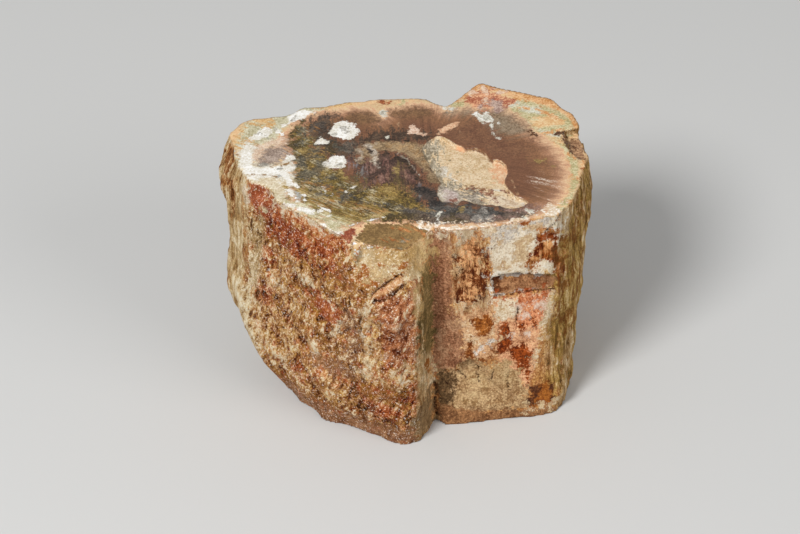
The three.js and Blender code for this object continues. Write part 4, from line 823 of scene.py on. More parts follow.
WALL_STAINS = {
    "veins": stain("dfc49a", "fff6e2", *lines(0.5, [(-13.8, 30.8), (-13.2, 30), (-12.8, 29)], [(-7.6, 16.4),
        (-6, 15.6), (-4.6, 16.6)]), *lines(0.4, [(-12, 26.6), (-12.6, 25), (-13.6, 23.4)], [(-7.6, 31.6),
        (-6.6, 32.8)], [(-20.8, 34.6), (-19.6, 33), (-18.4, 32.6)], [(-18.2, 33.8), (-16.6, 32.4)],
        [(-8, 27), (-6.8, 25.2)], [(-25.6, 11.8), (-24, 10.4)]), *lines(0.35, [(-3.4, 22.6), (-2.8, 21)],
        [(-2, 19.4), (-0.8, 18.6), (1.6, 18.8)], [(-1.8, 17.4), (-0.4, 16.6), (1, 16.4)], [(-24.8, 29.4),
        (-23, 28)], [(-17.6, 18.8), (-16.6, 17.6)]), *lines(0.3, [(-0.8, 30), (-0.2, 28)], [(-4.6, 32),
        (-4, 30)]), soft=0.4, ragged=1.8, by="grain"),
    "lower_base": stain("a5623a", "efb68a", [(17.2, 30.4), (29, 29.6), (28, 24), (26.6, 19), (25.6, 10),
        (24, 6), (21, 9), (18, 15), (17.2, 20)], soft=0.8, ragged=0.9, by="grain"),
    "middle_base": stain("9c5f36", "e6b688", [(9.6, 29), (17.6, 29), (18.6, 16), (14, 14.4), (11.2, 14.8),
        (10.8, 22)], soft=0.8, ragged=0.9, by="grain"),
    "shoulder": stain("70432b", "af7d5b", [(4.8, 47.4), (10, 47.4), (10.6, 40), (10.4, 30), (10.8, 27),
        (12.2, 22), (12.4, 17.5), (11.8, 15.4), (10, 15), (10, 13.2), (8, 12.2), (4.8, 11)], soft=0.8,
        ragged=1.6, by="grain"),
    "shoulder_light": stain("9d7252", "c89c78", *ovals((9, 44, 1, 3), (7.4, 19, 0.8, 4), (7, 14, 0.6, 2),
        (10.6, 25, 1.4, 1.6)), soft=1.2, ragged=2),
    "porous": stain("7c4018", "f4b47a", [(9.6, 47.4), (16.6, 47.4), (16.6, 28), (13.5, 26.8), (12, 27.5),
        (10, 28)], soft=0.7, ragged=2.4, by="grain"),
    "porous_cream": stain("c79c6c", "fbe6c2", *ovals((11.4, 43, 0.9, 2.2), (11.6, 29.6, 1.6, 1.4),
        (10.8, 38.6, 0.9, 1.2), (14.8, 29.4, 1.4, 1.6), (13.2, 45.4, 0.5, 1.4), (10.8, 46.4, 0.8, 0.8),
        (16.4, 33, 0.4, 2), (14.4, 45, 0.4, 1.8)), soft=0.7, ragged=2.6, by="grain"),
    "porous_rust": stain("5f2a10", "a85c28", *ovals((11.6, 39.6, 0.8, 0.7), (15.6, 42.6, 0.6, 2.4),
        (11.2, 46, 0.7, 1), (13.2, 35.6, 0.6, 1.6), (8.8, 45.8, 0.8, 0.8), (13.4, 32.6, 0.6, 1.4),
        (15.8, 33.4, 0.5, 2), (16.8, 40.8, 0.5, 1), (14.8, 38.4, 0.8, 1.2), (16.9, 36.6, 0.3, 1.4),
        (12.4, 31, 1.4, 1.2), (14.8, 35.6, 1, 1.6)), soft=0.6, ragged=2.2, by="grain"),
    "split_face": stain("cfbb9c", "f0e2ca", [(16.5, 47.4), (31.2, 47.4), (31.5, 40), (30, 33.4), (27, 33.2),
        (23.5, 34.2), (17.7, 34.2), (17.4, 38), (16.4, 41)], soft=0.4, ragged=1.6, by="grain"),
    "split_grey": stain("b0a292", "d4c8ba", [(16.8, 47.4), (29.4, 47.4), (28, 44.4), (22, 43.4),
        (17, 42.4)], *ovals((17.2, 46.4, 0.6, 1.4)), soft=1.4, ragged=2),
    "split_tan": stain("c09c74", "dcc29c", *ovals((23.4, 40.4, 1.6, 3, -8), (24.4, 45, 3, 0.6, -4),
        (18.6, 44.6, 0.8, 1.6), (22, 37.4, 3, 1)), soft=1.4, ragged=2.4),
    "split_white": stain("e2d6c2", "fdf6e8", *ovals((17.6, 31.8, 0.4, 2.4), (25.6, 34.4, 2.6, 0.6, -12),
        (26.6, 35.4, 0.8, 0.6), (30.4, 43.4, 1, 0.8), (18.2, 35.2, 1, 0.6)), soft=0.8, ragged=2),
    "crumbs": stain("a2561f", "f4b070", *CRUMBLY, soft=0.5, ragged=1.2, by="grain"),
    "crumbs_dark": stain("5a1e06", "a8521c", *ovals((28.2, 42, 2.3, 1.5), (26.8, 40, 0.5, 1.2, 20),
        (29.6, 39.2, 0.6, 1.2), (30.6, 35.4, 1, 1), (31.2, 33.6, 0.5, 2), (26.2, 38, 0.4, 1.2, 30),
        (24.6, 38.6, 0.5, 0.7), (28.8, 36.4, 0.5, 0.5)), *lines(0.4, [(16.8, 41.6), (16.5, 38),
        (16.7, 34.6)], [(29.4, 44.6), (30.6, 46.2)]), soft=0.5, ragged=0.8, by="grain"),
    "rim_crack_orange": stain("b06c34", "e0a468", *ovals((30, 42.6, 1.2, 0.6)), *lines(0.8, [(26.8, 43.6),
        (29, 45), (31, 47)]), soft=0.6, ragged=1.3, by="grain"),
    # The recess's floor: brown stone, darker in part as painted shade; painted shade at its left end and
    # along its bottom crack
    "recess": stain("744528", "b08058", [(17.8, 34), (20.5, 33.4), (23.5, 33.9), (27, 32.9), (30, 32),
        (29.5, 30.3), (26, 30), (17.8, 30.7)], soft=0.3, ragged=0.4),
    "recess_grey": stain("a3958a", "c8bcae", *lines(0.5, [(19, 33.9), (23.4, 34.1), (27, 33.2)]),
        *lines(0.25, [(17.6, 30.7), (22, 30.5), (26, 30.4)]), soft=0.4, ragged=0.7),
    "recess_dark": stain("52280f", "80502f", *ovals((18.2, 32.8, 0.5, 1.2), (19.4, 31.8, 1.2, 0.6)),
        *lines(0.25, [(24, 30.2), (29.4, 29.6)]), soft=0.6, ragged=0.9),
    "lower_cream": stain("cdae84", "f5e6ca", [(17.2, 30.4), (29, 29.6), (29, 24), (27, 20), (24.6, 24),
        (18, 24), (17.4, 26)], soft=0.6, ragged=1.6, by="grain"),
    "lower_orange": stain("a84c20", "f2a676", [(21.4, 30), (28.6, 29.4), (28.2, 25), (26.6, 21.6), (23, 21),
        (21, 24), (22.4, 27)], *lines(0.7, [(18.6, 30), (22, 29.8), (29, 29.2)]), soft=0.8, ragged=2.2,
        by="grain"),
    "lower_rust": stain("541c06", "b8581f", [(18.2, 24), (20.4, 24.6), (20.8, 20), (20, 16.4),
        (18.4, 16.6)], [(20.4, 17.4), (25.4, 18), (25.2, 15), (24, 12.4), (21.6, 13.4)], *ovals(
        (24, 10, 1, 3), (19.6, 20, 1.6, 3), (25.2, 23, 0.6, 1.4), (22.6, 22.4, 1, 1.2),
        (27.8, 24.4, 0.6, 0.4), (22.6, 12.4, 1.3, 1.8)), soft=0.6, ragged=1.3, by="grain"),
    "orange_white": stain("e8cbb0", "fff4e6", *ovals((23.2, 24.6, 1, 0.8), (24.4, 20.4, 0.8, 1),
        (25.6, 26.8, 1, 0.8), (27.4, 26.2, 0.7, 1.2), (22.6, 26.6, 0.6, 1), (21.6, 20.6, 0.5, 0.8)),
        soft=0.5, ragged=1.6, by="grain", strength=0.75),
    "middle_cream": stain("d6aa78", "fdeccc", *ovals((12.6, 23, 0.9, 3), (14.6, 20.2, 1.4, 0.8, 20),
        (17.4, 22.6, 0.6, 2.4), (26.9, 19.4, 0.5, 2.6, -12)), soft=0.6, ragged=2.6, by="grain"),
    "grey_band": stain("b8a896", "efe4d8", *lines(0.9, [(17.4, 20.2), (15.6, 18.8), (14.2, 17.4)]),
        soft=0.6, ragged=1.2),
    "small_rust": stain("6e3412", "b8763c", *ovals((12.6, 18, 0.8, 2.2), (15.8, 15.8, 1.2, 0.8, 20),
        (12.7, 14.9, 0.5, 0.5)), soft=0.5, ragged=1.6, by="grain"),
    "orange_patch": stain("74360f", "bb7232", [(13.5, 26), (15, 26.3), (17, 26.4), (17.4, 24.6), (17, 22.4),
        (15.4, 21.4), (13.8, 22.2)], soft=0.5, ragged=1.2, by="grain"),
    "lower_tan": stain("946e48", "d6b284", [(6.4, 12.4), (8.4, 12.6), (10, 13.8), (12.4, 15.6), (14.4, 15),
        (17, 12.6), (19.4, 15), (21, 13), (23.6, 10), (24.4, 6), (24.6, 2), (14, 1.6), (6.4, 2.4)],
        soft=0.7, ragged=1.8),
    "lower_light": stain("b08a5c", "e2c496", *ovals((14.4, 10, 2.4, 2), (20, 11, 1.6, 2.4), (13, 6.4, 3, 1),
        (17.8, 13.4, 1.4, 1)), soft=1.2, ragged=2.8, by="grain"),
    "tan_streaks": stain("86623c", "b48a5c", *ovals((12, 8.6, 1.7, 0.4, -6), (16, 7.2, 2.2, 0.35),
        (20, 8.4, 1.6, 0.35, 6), (22.4, 6.6, 0.6, 1.6), (14, 12.2, 1.2, 0.4), (18.4, 4.4, 3, 0.4, -4),
        (12.6, 5, 1.6, 0.35), (21, 11.4, 0.4, 1.2)), *lines(0.12, [(13.5, 10.6), (13.2, 8.4)],
        [(18.6, 10.2), (18.9, 7.8)], [(21.4, 9.6), (21.5, 7.4)], [(15.8, 7.2), (15.9, 4.4)], [(19.6, 13),
        (19.2, 11)]), *lines(0.1, [(11.4, 7.4), (11.2, 4.6)]), soft=0.5, ragged=0.9, by="grain",
        strength=0.6),
    # Painted shade in the recess under the shoulder's overhang
    "lower_dark": stain("4a351f", "7e6040", [(6.2, 12), (9, 12.4), (10.2, 9.6), (9.6, 5.6), (7, 4.4),
        (6, 7)], soft=1, ragged=1.3),
    "lower_foot": stain("70482c", "aa7a50", [(6, 4.6), (9.4, 4.2), (13, 3.2), (18, 2.6), (23.4, 2),
        (30, 1.8), (30, -1), (6, -1)], soft=0.9, ragged=0.9),
    "foot_shadow": stain("644327", "8e6840", *lines(0.25, [(9, 4.7), (13, 3.7), (18, 3), (23, 2.5)]),
        soft=1, ragged=0.6, strength=0.6),
    "amber": stain("83441a", "b06c2c", [(24.2, 2.2), (24.4, 5), (26, 7), (28, 7.2), (29.2, 5), (29, 2.2)],
        soft=0.5, ragged=0.5, by="grain"),
    "amber_dark": stain("4a2817", "7d4c2c", *ovals((24.9, 3.8, 0.8, 1.8), (28.8, 4.6, 0.4, 1.4),
        (25.6, 6.4, 1.2, 0.8)), soft=0.8, ragged=1),
    "pale_edge": stain("cdb086", "faeccc", *lines(0.5, [(29.2, 29), (27.5, 23), (26.2, 18.6)]), *lines(0.4,
        [(26, 16), (25.4, 10)], [(23.6, 1.9), (26, 1.5), (28.6, 1.5), (30, 2.4)]), *lines(0.45, [(2.7, 31),
        (2.4, 24), (2.9, 19.6)]), *lines(0.3, [(31.2, 47), (31.6, 40)]), soft=0.5, ragged=2, by="grain"),
    "right_rust": stain("8a5826", "b88448", *ovals((31.2, 37, 0.7, 3.4, 6), (33.6, 38.6, 0.5, 1.6),
        (34, 30, 0.6, 1.4), (32.6, 18.6, 0.7, 1.4), (30.4, 24, 0.5, 2), (33.6, 26, 0.5, 2.4),
        (30.8, 28.4, 0.8, 1)), soft=1, ragged=2.4, by="grain"),
    "block_rust": stain("8a4422", "e09a68", [(-5, 35.4), (-2, 36.6), (1.8, 36.4), (2.6, 33), (2.2, 27),
        (2.4, 20.4), (-1, 20), (-3.6, 22), (-3.8, 28), (-4.4, 32)], soft=0.8, ragged=1.4, by="grain",
        strength=0.78),
    "ridge_pale": stain("c49c6a", "fff0cc", *ovals((-6.6, 17.4, 2.2, 1.2), (0.2, 18.4, 2, 1)), *lines(1,
        [(-7, 31), (-6.2, 25), (-6.8, 19.4)]), soft=0.6, ragged=2.4, by="grain", strength=0.85),
    "pink_brown": stain("764a31", "ba8c68", [(-24, -1), (-24, 3.6), (-14, 4.8), (0, 4.6), (3, 3), (3, -1)],
        *ovals((-13.4, 15.4, 5, 2.8), (-9.8, 25, 1.5, 6)), soft=1, ragged=2.2, by="grain", strength=0.6),
    "facet": stain("9c7748", "dabb8a", FACET, soft=0.7, ragged=1.8),
    "facet_brown": stain("ac854e", "dab57c", *ovals((1, 44.2, 4, 1.5), (4.8, 41, 0.8, 3.4),
        (-3, 44, 1.6, 1)), soft=1.6, ragged=2.8, by="grain"),
    "facet_light": stain("bc9c6c", "f3e2be", *ovals((-6.4, 42.6, 1.2, 2), (-2.4, 41.2, 2.6, 0.8, 10),
        (-7.8, 45.2, 0.9, 1), (3.4, 38.8, 1.4, 1), (1.6, 39.8, 1, 0.6)), soft=0.9, ragged=2.4, by="grain"),
    "facet_flecks": stain("a05c26", "cf8f50", *ovals((-6, 41, 0.8, 0.4), (-3.2, 42.4, 0.5, 0.3),
        (-1, 40.4, 0.5, 0.3), (-7, 39.6, 0.5, 0.7), (-5, 38.4, 0.8, 0.6, -40), (-2.6, 45, 0.6, 0.3),
        (0.6, 42.4, 0.5, 0.3)), soft=0.5, ragged=2, by="grain"),
    "ledge_strip": stain("ac6a38", "e8b482", LEDGE, soft=0.3, ragged=0.4),
    # Painted shadow lines above and below the ledge strip
    "ledge_crack": stain("5c2e16", "8a5230", *lines(0.35, [(-4.8, 37.2), (-3, 38.7), (-0.2, 40.3)]),
        *lines(0.3, [(-5.3, 34.9), (-3.6, 35.5), (-2, 36.6), (0.4, 38.7)]), soft=0.35, ragged=0.5),
    "under_ledge": stain("a05a34", "ebbc90", *ovals((2.8, 37, 1.1, 1.6)), soft=0.8, ragged=1.6, by="grain"),
    # The channel's flank: olive-brown stone, darkened further as painted shade in the channel
    "flank": stain("62502c", "9c7e4e", [(3.8, 40), (6, 42), (6.1, 18), (4.4, 18), (3.4, 22), (3.2, 28)],
        soft=0.8, ragged=1, by="grain"),
    "flank_light": stain("b8945f", "e4c896", *ovals((4.6, 43.4, 1, 3.4), (3.2, 34, 0.6, 3)), soft=1.2,
        ragged=2.4, by="grain"),
    "flank_foot": stain("a08256", "dcc298", [(3, 19.6), (5.2, 18), (6, 14), (6, 10), (5.2, 10), (3.8, 13)],
        soft=0.6, ragged=2, by="grain"),
    "flank_streaks": stain("cfb184", "f3e2c2", *lines(0.5, [(2.9, 19.6), (4.2, 14), (5.4, 10.4)]),
        *lines(0.25, [(5, 17), (5.8, 12.4)]), soft=0.4, ragged=1.6),
    "flank_rust": stain("8c5424", "bd8144", *lines(0.25, [(4.3, 17.6), (5.2, 13)]), soft=0.4, ragged=1.6),
    "flank_low": stain("7d6140", "ab8a60", [(2.6, 8.4), (4.6, 10), (5.9, 9), (5.9, 0), (1.6, 0), (1.8, 5)],
        soft=1, ragged=2),
    "scoop_red": stain("7c3216", "bd6a42", *ovals((-26.4, 44.6, 2.5, 3.2)), soft=0.6, ragged=2, by="grain"),
    "scoop_rim": stain("d9bd98", "fbf2e4", *lines(0.5, [(-28.9, 47), (-29.2, 44), (-29.2, 41.6)]), soft=0.4,
        ragged=1.6, by="grain"),
    "rim_spots": stain("84441c", "c8864c", *ovals((8.4, 46, 0.5, 0.8), (12.4, 45.8, 0.5, 1),
        (10.2, 45.8, 0.4, 0.8), (14.6, 46, 0.4, 0.8), (24, 46.4, 1, 0.3)), soft=0.4, ragged=1.3,
        by="grain"),
    "rim_drips": stain("dcc09a", "fffaf0", *lines(0.3, [(7.2, 47), (7.5, 45.2)], [(13.4, 47), (13.5, 45)],
        [(15.6, 47), (15.8, 44.6)]), *lines(0.25, [(9.2, 47), (9, 44.4)], [(26, 47), (26, 46)]),
        *lines(0.35, [(11.2, 47), (11.2, 44.6)]), *lines(0.4, [(17.2, 47), (17, 45.4)]), *lines(0.2,
        [(21, 47), (21.2, 46)]), soft=0.4, ragged=1.6, by="grain"),
    "left_pale": stain("a8865a", "ecd2a6", *ovals((-31.6, 43, 1.6, 4.4)), *lines(1, [(-33.4, 45),
        (-31, 46.6), (-29, 46.9)]), soft=1.2, ragged=2.4, by="grain", strength=0.75),
    # Painted highlight along the lens's lower edge
    "lens_edge": stain("d4d2ca", "ffffff", *ovals((-7.8, 45, 0.5, 0.9)), *lines(0.3, [(-8.6, 46.1),
        (-6, 45.9), (-2.6, 46)]), soft=0.3, ragged=0.7),
    "rim_orange": stain("b5683a", "f0b074", *ovals((-17.4, 45.4, 1.4, 1), (-12, 45.4, 1, 1.2)), *lines(0.8,
        [(-22.6, 45.8), (-17, 46), (-13.6, 45)]), soft=0.7, ragged=2.8, by="grain"),
    "rim_white": stain("dcc4a0", "fff6e6", *ovals((-23, 46, 0.8, 0.8)), *lines(0.5, [(-23.4, 46.9),
        (-12, 46.8)], [(6, 46.9), (17, 46.6)]), *lines(0.25, [(12, 43), (12.6, 45), (12.3, 46.6)]),
        soft=0.5, ragged=2.6, by="grain"),
}

RAY_FLECKS = ovals((28.4, -6.5, 3.2, 5.6, 20))
TINT_EDGE = 1.5  # how softly the wall's tints end
CHIP_MARGIN = 0.6  # how far round the chip's outline its walls count as the top
CHIP_BOTTOM = 1.6  # deeper below the polished face than any of the chip
RIGHT_WALL = (-31, 30)  # degrees
LEFT_BARK = [(150, 200), (-200, -168)]  # degrees, on both sides of the half turn


def keep(name, values):
    """Gives the mesh a value at each point, which its material reads by name."""
    mesh.attributes.new(name, "FLOAT", "POINT").data.foreach_set("value", values.astype(np.float32))


for group in (TOP_RIM_STAINS, TOP_STAINS, CHIP_STAINS):
    for name, parts in group.items():
        keep(name, shapes_distance(x, y, tops, parts["shapes"]))
for name, parts in WALL_STAINS.items():
    keep(name, shapes_distance(x, z, fronts, parts["shapes"]))
for name, shapes in WALL_TINTS.items():
    keep(name, within(fronts, shapes, TINT_EDGE))
keep("top", np.maximum(is_top, (chip < CHIP_MARGIN) & (z > HEIGHT - CHIP_BOTTOM)))
keep("chip", np.where(tops, chip, FAR))
keep("heart", shapes_distance(x, y, tops, [HEART]))
keep("ray_flecks", shapes_distance(x, y, tops, RAY_FLECKS))
keep("crack", crack)
keep("relief", relief)
keep("granular", zone(degrees, GRANULAR))
keep("split", split)
keep("even", even)
keep("right_wall", zone(degrees, RIGHT_WALL))
keep("left_bark", sum(zone(degrees, ends) for ends in LEFT_BARK))


# The stone's surface
# The sawn top is polished quartz, glossy as if under a thin clear coat, and the broken sides and the chip
# are matt and rough. The one material works from noise and from the values kept on the mesh's points.
def tint(hexes):
    """A colour as light, from its red, green and blue in two hexadecimal digits each."""
    parts = [int(hexes[n : n + 2], 16) / 255 for n in (0, 2, 4)]
    return tuple(p / 12.92 if p <= 0.04045 else ((p + 0.055) / 1.055) ** 2.4 for p in parts) + (1.0,)


class Field:
    """A socket of a material that is worked with as a number or a colour: each operation adds its node."""

    def __init__(self, tree, socket=None):
        self.tree = tree
        self.socket = socket

    def node(self, kind, settings=None, sockets=None, output=0):
        """A new node of some kind, with its settings, then its sockets' values or links."""
        made = self.tree.nodes.new(kind)
        for name, value in (settings or {}).items():
            if name == "stops":
                ramp = made.color_ramp
                while len(ramp.elements) < len(value):
                    ramp.elements.new(0.5)
                for element, (position, colour) in zip(ramp.elements, value):
                    element.position = position
                    element.color = colour
            else:
                setattr(made, name, value)
        for name, value in (sockets or {}).items():
            if isinstance(value, Field):
                self.tree.links.new(value.socket, made.inputs[name])
            else:
                made.inputs[name].default_value = value
        return Field(self.tree, made.outputs[output] if made.outputs else None)

    def maths(self, operation, *values):
        return self.node("ShaderNodeMath", {"operation": operation}, dict(enumerate(values)))

    def __add__(self, other):
        return self.maths("ADD", self, other)

    __radd__ = __add__

    def __sub__(self, other):
        return self.maths("SUBTRACT", self, other)

    def __rsub__(self, other):
        return self.maths("SUBTRACT", other, self)

    def __mul__(self, other):
        return self.maths("MULTIPLY", self, other)

    __rmul__ = __mul__

    def step(self, low, high):
        """0 below low and 1 above high, or the other way round where high is the smaller."""
        return self.node(
            "ShaderNodeMapRange",
            {"interpolation_type": "SMOOTHSTEP"},
            {"Value": self, "From Min": low, "From Max": high},
        )

    def blend(self, first, second, kind="MIX"):
        """A colour that goes from the first to the second as this goes from 0 to 1."""
        settings = {"data_type": "RGBA", "blend_type": kind}
        return self.node("ShaderNodeMix", settings, {0: self, 6: first, 7: second}, 2)

    def shaded(self, shade, amount):
        """This colour, darker where the shade is under one half and lighter where it is over."""
        settings = {"data_type": "RGBA", "blend_type": "OVERLAY"}
        return self.node("ShaderNodeMix", settings, {0: amount, 6: self, 7: shade}, 2)

    def ramp(self, *pairs):
        """A colour from a row of colours, each given with its place between 0 and 1."""
        stops = [(position, tint(colour)) for position, colour in pairs]
        return self.node("ShaderNodeValToRGB", {"stops": stops}, {"Fac": self})

    def attribute(self, name):
        """A value that is kept on the mesh's points."""
        return self.node("ShaderNodeAttribute", {"attribute_name": name}, output=2)

    def vector(self, operation, *values):
        return self.node("ShaderNodeVectorMath", {"operation": operation}, dict(enumerate((self, *values))))

    def turned(self, *degrees):
        """This place, turned about x, y and z."""
        return self.node(
            "ShaderNodeVectorRotate",
            {"rotation_type": "EULER_XYZ"},
            {"Vector": self, "Rotation": tuple(math.radians(angle) for angle in degrees)},
        )

    def noise(self, scale, detail=2.0, roughness=0.5, distortion=0.0):
        """Noise about 0, mostly between -1 and 1, and as strong with many octaves as with few."""
        octaves = [roughness**n for n in range(int(detail) + 1)]
        strength = EVENED * sum(octaves) / math.sqrt(sum(octave**2 for octave in octaves))
        made = self.node("ShaderNodeTexNoise", {"noise_dimensions": "3D"}, {
            "Vector": self, "Scale": scale, "Detail": detail, "Roughness": roughness,
            "Distortion": distortion,
        })
        return (made - 0.5) * strength

    def grains(self, scale):
        """Rounded grains: high in each grain's middle and low between the grains."""
        made = self.node("ShaderNodeTexVoronoi", {"feature": "F1"}, {"Vector": self, "Scale": scale})
        return GRAIN_RADIUS - made


EVENED = 4.2  # brings one octave of noise to about the range from -1 to 1
GRAIN_RADIUS = 0.42  # in cells
LEAN_STRETCH = 0.42  # how much slower the texture varies along the grains' lean
GAP_SHADE = (0.44, 0.27, 0.15, 1)  # painted shade in the gaps between the grains, over their darker colour
# Painted highlight colour for the raised grains' backs
GRAIN_HIGHLIGHT = (0.93, 0.76, 0.5, 1)
# Painted glint colour for the grains
GLINT_COLOUR = (0.94, 0.86, 0.7, 1)
CHIP_TONES = (tint("d9bb8e"), tint("f4dcb8"))
CHIP_EDGE_SHADE = tint("5a4636")
CRACK_SHADE = tint("38200f")
FLECK_TONE = tint("f0e0cf")
RIM_TONES = (tint("e8c090"), tint("d9b88c"))

finish = bpy.data.materials.new("stone")
finish.use_nodes = True
tree = finish.node_tree
tree.nodes.clear()
start = Field(tree)
place = start.node("ShaderNodeTexCoord", output=3).vector("MULTIPLY_ADD", (MILLIMETRES,) * 3, tuple(MIDDLE))
wide = place.noise(0.22, 3)
wobble = place.noise(0.6, 5, 0.62, 0.6)
blotch = place.noise(0.42, 8, 0.78)
nibble = place.noise(2.4, 3, 0.65)
speckle = place.noise(5.0, 2, 0.7)

# The broken sides' texture: leaning grains and creases, upright fibres, or the even speckle of a split face
granular_here = start.attribute("granular")
split_here = start.attribute("split")
even_here = start.attribute("even")
relief_here = start.attribute("relief")
leaning = place.turned(0, -math.degrees(LEAN), 0).vector("MULTIPLY", (1, 1, LEAN_STRETCH))
grain = leaning.noise(1.0, 5, 0.8, 0.4)
creases = leaning.noise(0.5, 5, 0.7, 0.8).maths("ABSOLUTE")
fibre = place.vector("MULTIPLY", (1, 1, 0.14)).noise(1.1, 5, 0.78)
granular_texture = 0.7 * grain + 1.1 * creases - 0.4 + 0.9 * leaning.grains(0.85)
granular_texture = granular_texture + 0.2 * nibble + 0.2 * speckle
hairlines = place.vector("MULTIPLY", (1, 1, 0.55)).noise(0.42, 4, 0.62, 1.2).maths("ABSOLUTE").step(0.1, 0.0)
split_texture = 0.45 * nibble + 0.2 * speckle + 0.3 * fibre + 0.1 * blotch
split_texture = split_texture - 0.8 * hairlines * blotch.step(-0.4, 0.4)
bark_texture = 0.85 * fibre + 0.25 * blotch + 0.2 * speckle
texture = (
    granular_here * granular_texture
    + split_here * split_texture
    + (1 - granular_here) * (1 - split_here) * bark_texture
)
texture = texture * (1 - 0.4 * even_here)

# What the stains' edges follow: clouds, grain, streaks, flow and threads towards the front left, uprights to
# the back, and rays out from the heart
HEART_CENTRE = (6, 4, HEIGHT)
RAYS = 16  # how many rays there are to a radian, about
STREAK_TURN = 37  # degrees
rays_out = place.vector("SUBTRACT", HEART_CENTRE)
direction = rays_out.vector("MULTIPLY", (1, 1, 0)).vector("NORMALIZE").vector("MULTIPLY", (RAYS,) * 3)
rays = rays_out.vector("MULTIPLY", (0.12, 0.12, 0)).vector("ADD", direction).noise(1.0, 4, 0.65)
streaks = place.turned(0, 0, STREAK_TURN).vector("MULTIPLY", (0.28, 1.5, 1)).noise(1.0, 5, 0.66)
uprights = place.vector("MULTIPLY", (1.5, 0.3, 1)).noise(1.0, 5, 0.66)
flow = place.turned(0, 0, 14).vector("MULTIPLY", (0.22, 1.1, 1)).noise(1.0, 5, 0.66, 0.5)
threads = place.turned(0, 0, STREAK_TURN).vector("MULTIPLY", (0.5, 2.2, 1)).noise(1.0, 5, 0.75, 1.0)
EDGES = {
    "cloud": 0.5 * wobble + 0.5 * blotch,
    "streak": 0.8 * streaks + 0.3 * nibble,
    "upright": 0.8 * uprights + 0.3 * nibble,
    "rays": 0.8 * rays + 0.3 * nibble,
    "flow": 0.4 * flow + 0.5 * blotch,
    "thread": threads,
    "grain": 0.35 * texture + 0.65 * blotch,
}


def stained(colour, stains, mottle):
    """A colour with stains laid over it one after another, each mottled between its two tones."""
    for name, parts in stains.items():
        distance = start.attribute(name) + parts["ragged"] * EDGES[parts["by"]]
        tones = mottle.blend(tint(parts["dark"]), tint(parts["light"]))
        covered = distance.step(parts["soft"] / 2, -parts["soft"] / 2)
        if parts["strength"] < 1:
            covered = parts["strength"] * covered
        colour = covered.blend(colour, tones)
    return colour


# The polished top: a pale rim, then the brown heartwood, darker inwards and finely rayed, then its stains
top_mottle = (0.5 * nibble + 0.7 * blotch + 0.2 * speckle + 0.15 * streaks).step(-0.9, 1.0)
top = wide.step(-0.5, 0.5).blend(*RIM_TONES)
top = stained(top, TOP_RIM_STAINS, top_mottle)
heart = start.attribute("heart") + 0.4 * wobble + 0.3 * rays
heartwood = (0.13 * heart + 0.8).ramp(
    (0.0, "785038"), (0.45, "8d6344"), (0.68, "a67a5c"), (0.82, "cb9f7c"), (0.93, "dfb48e"), (1.0, "e8c29c")
)
heartwood = heartwood.shaded(0.5 + 0.08 * rays + 0.04 * speckle, 0.9)
top = (heart + 0.3 * nibble).step(1.9, 0.7).blend(top, heartwood)
top = stained(top, TOP_STAINS, top_mottle)
fleck_here = start.attribute("ray_flecks").step(1.0, -2.2)
flecks = rays.step(0.2, 0.8) * (speckle + 0.5 * nibble).step(-0.1, 0.7)
top = (0.75 * fleck_here * flecks).blend(top, FLECK_TONE)

# The chip: a pale matt hollow, with painted shade in a thin line along its edge
chip_here = start.attribute("chip")
matt_chip = chip_here.step(0.15, -0.15)
chip_colour = stained(top_mottle.blend(*CHIP_TONES), CHIP_STAINS, top_mottle)
top = matt_chip.blend(top, chip_colour)
chip_edge_shade = (chip_here + 0.1 * nibble).maths("ABSOLUTE").step(0.24, 0.03)
top = (0.35 * chip_edge_shade).blend(top, CHIP_EDGE_SHADE)
top = top.shaded(0.5 + 0.07 * nibble + 0.06 * speckle, 1.0)

# The broken sides: brown stone with rusty and chalky patches, ochre on the right wall and paler on the left,
# then its stains; then painted shade in the gaps between the grains, over their darker colour, painted
# highlights and glints on their backs, and painted shade in the cracks
# The relief's height lightens the raised parts and darkens the hollows: painted light and shade over the
# stone's own tone
tone_and_shade = 0.5 + (0.32 + 0.1 * granular_here) * texture + 0.3 * relief_here + 0.08 * blotch
tone_and_shade = tone_and_shade + 0.2 * start.attribute("chalky") - 0.16 * start.attribute("umber")
plain = tone_and_shade.ramp((0.0, "56300f"), (0.28, "865028"), (0.5, "aa7040"), (0.74, "d4a166"), (1.0, "f8e2b8"))
golden = tone_and_shade.ramp((0.0, "482808"), (0.3, "8e5a20"), (0.55, "bb823a"), (0.8, "e2b066"), (1.0, "fae4ae"))
rusted = tone_and_shade.ramp((0.0, "531c0a"), (0.3, "86391a"), (0.55, "b05a2c"), (0.8, "e0945e"), (1.0, "f8d6a8"))
ochre = tone_and_shade.ramp((0.0, "5e4620"), (0.35, "967236"), (0.55, "b8904e"), (0.8, "d6b06c"), (1.0, "eed69a"))
pale = tone_and_shade.ramp((0.0, "7a5a30"), (0.35, "ae8856"), (0.6, "d2b07e"), (1.0, "f8eac8"))
hue = place.noise(0.7, 6, 0.75)
wall = (hue.step(-0.1, 0.9) * (0.35 + 0.65 * granular_here)).blend(plain, golden)
rust_at = (0.7 * blotch - 0.3 * hue + 0.95 * start.attribute("rusty")).step(0.15, 1.0)
wall = (rust_at * (0.3 + 0.7 * granular_here)).blend(wall, rusted)
patches = place.vector("MULTIPLY", (1, 1, 0.4)).noise(0.16, 6, 0.7)
away = (1 - granular_here) * (1 - split_here)
wall = (0.85 * away * (patches + 0.3 * texture).step(-0.1, 0.35)).blend(wall, pale)
wall = (start.attribute("right_wall") * (0.4 * blotch + patches).step(0.5, -0.3)).blend(wall, ochre)
wall = (start.attribute("left_bark") * (0.4 * blotch + patches).step(-0.6, 0.2)).blend(wall, pale)
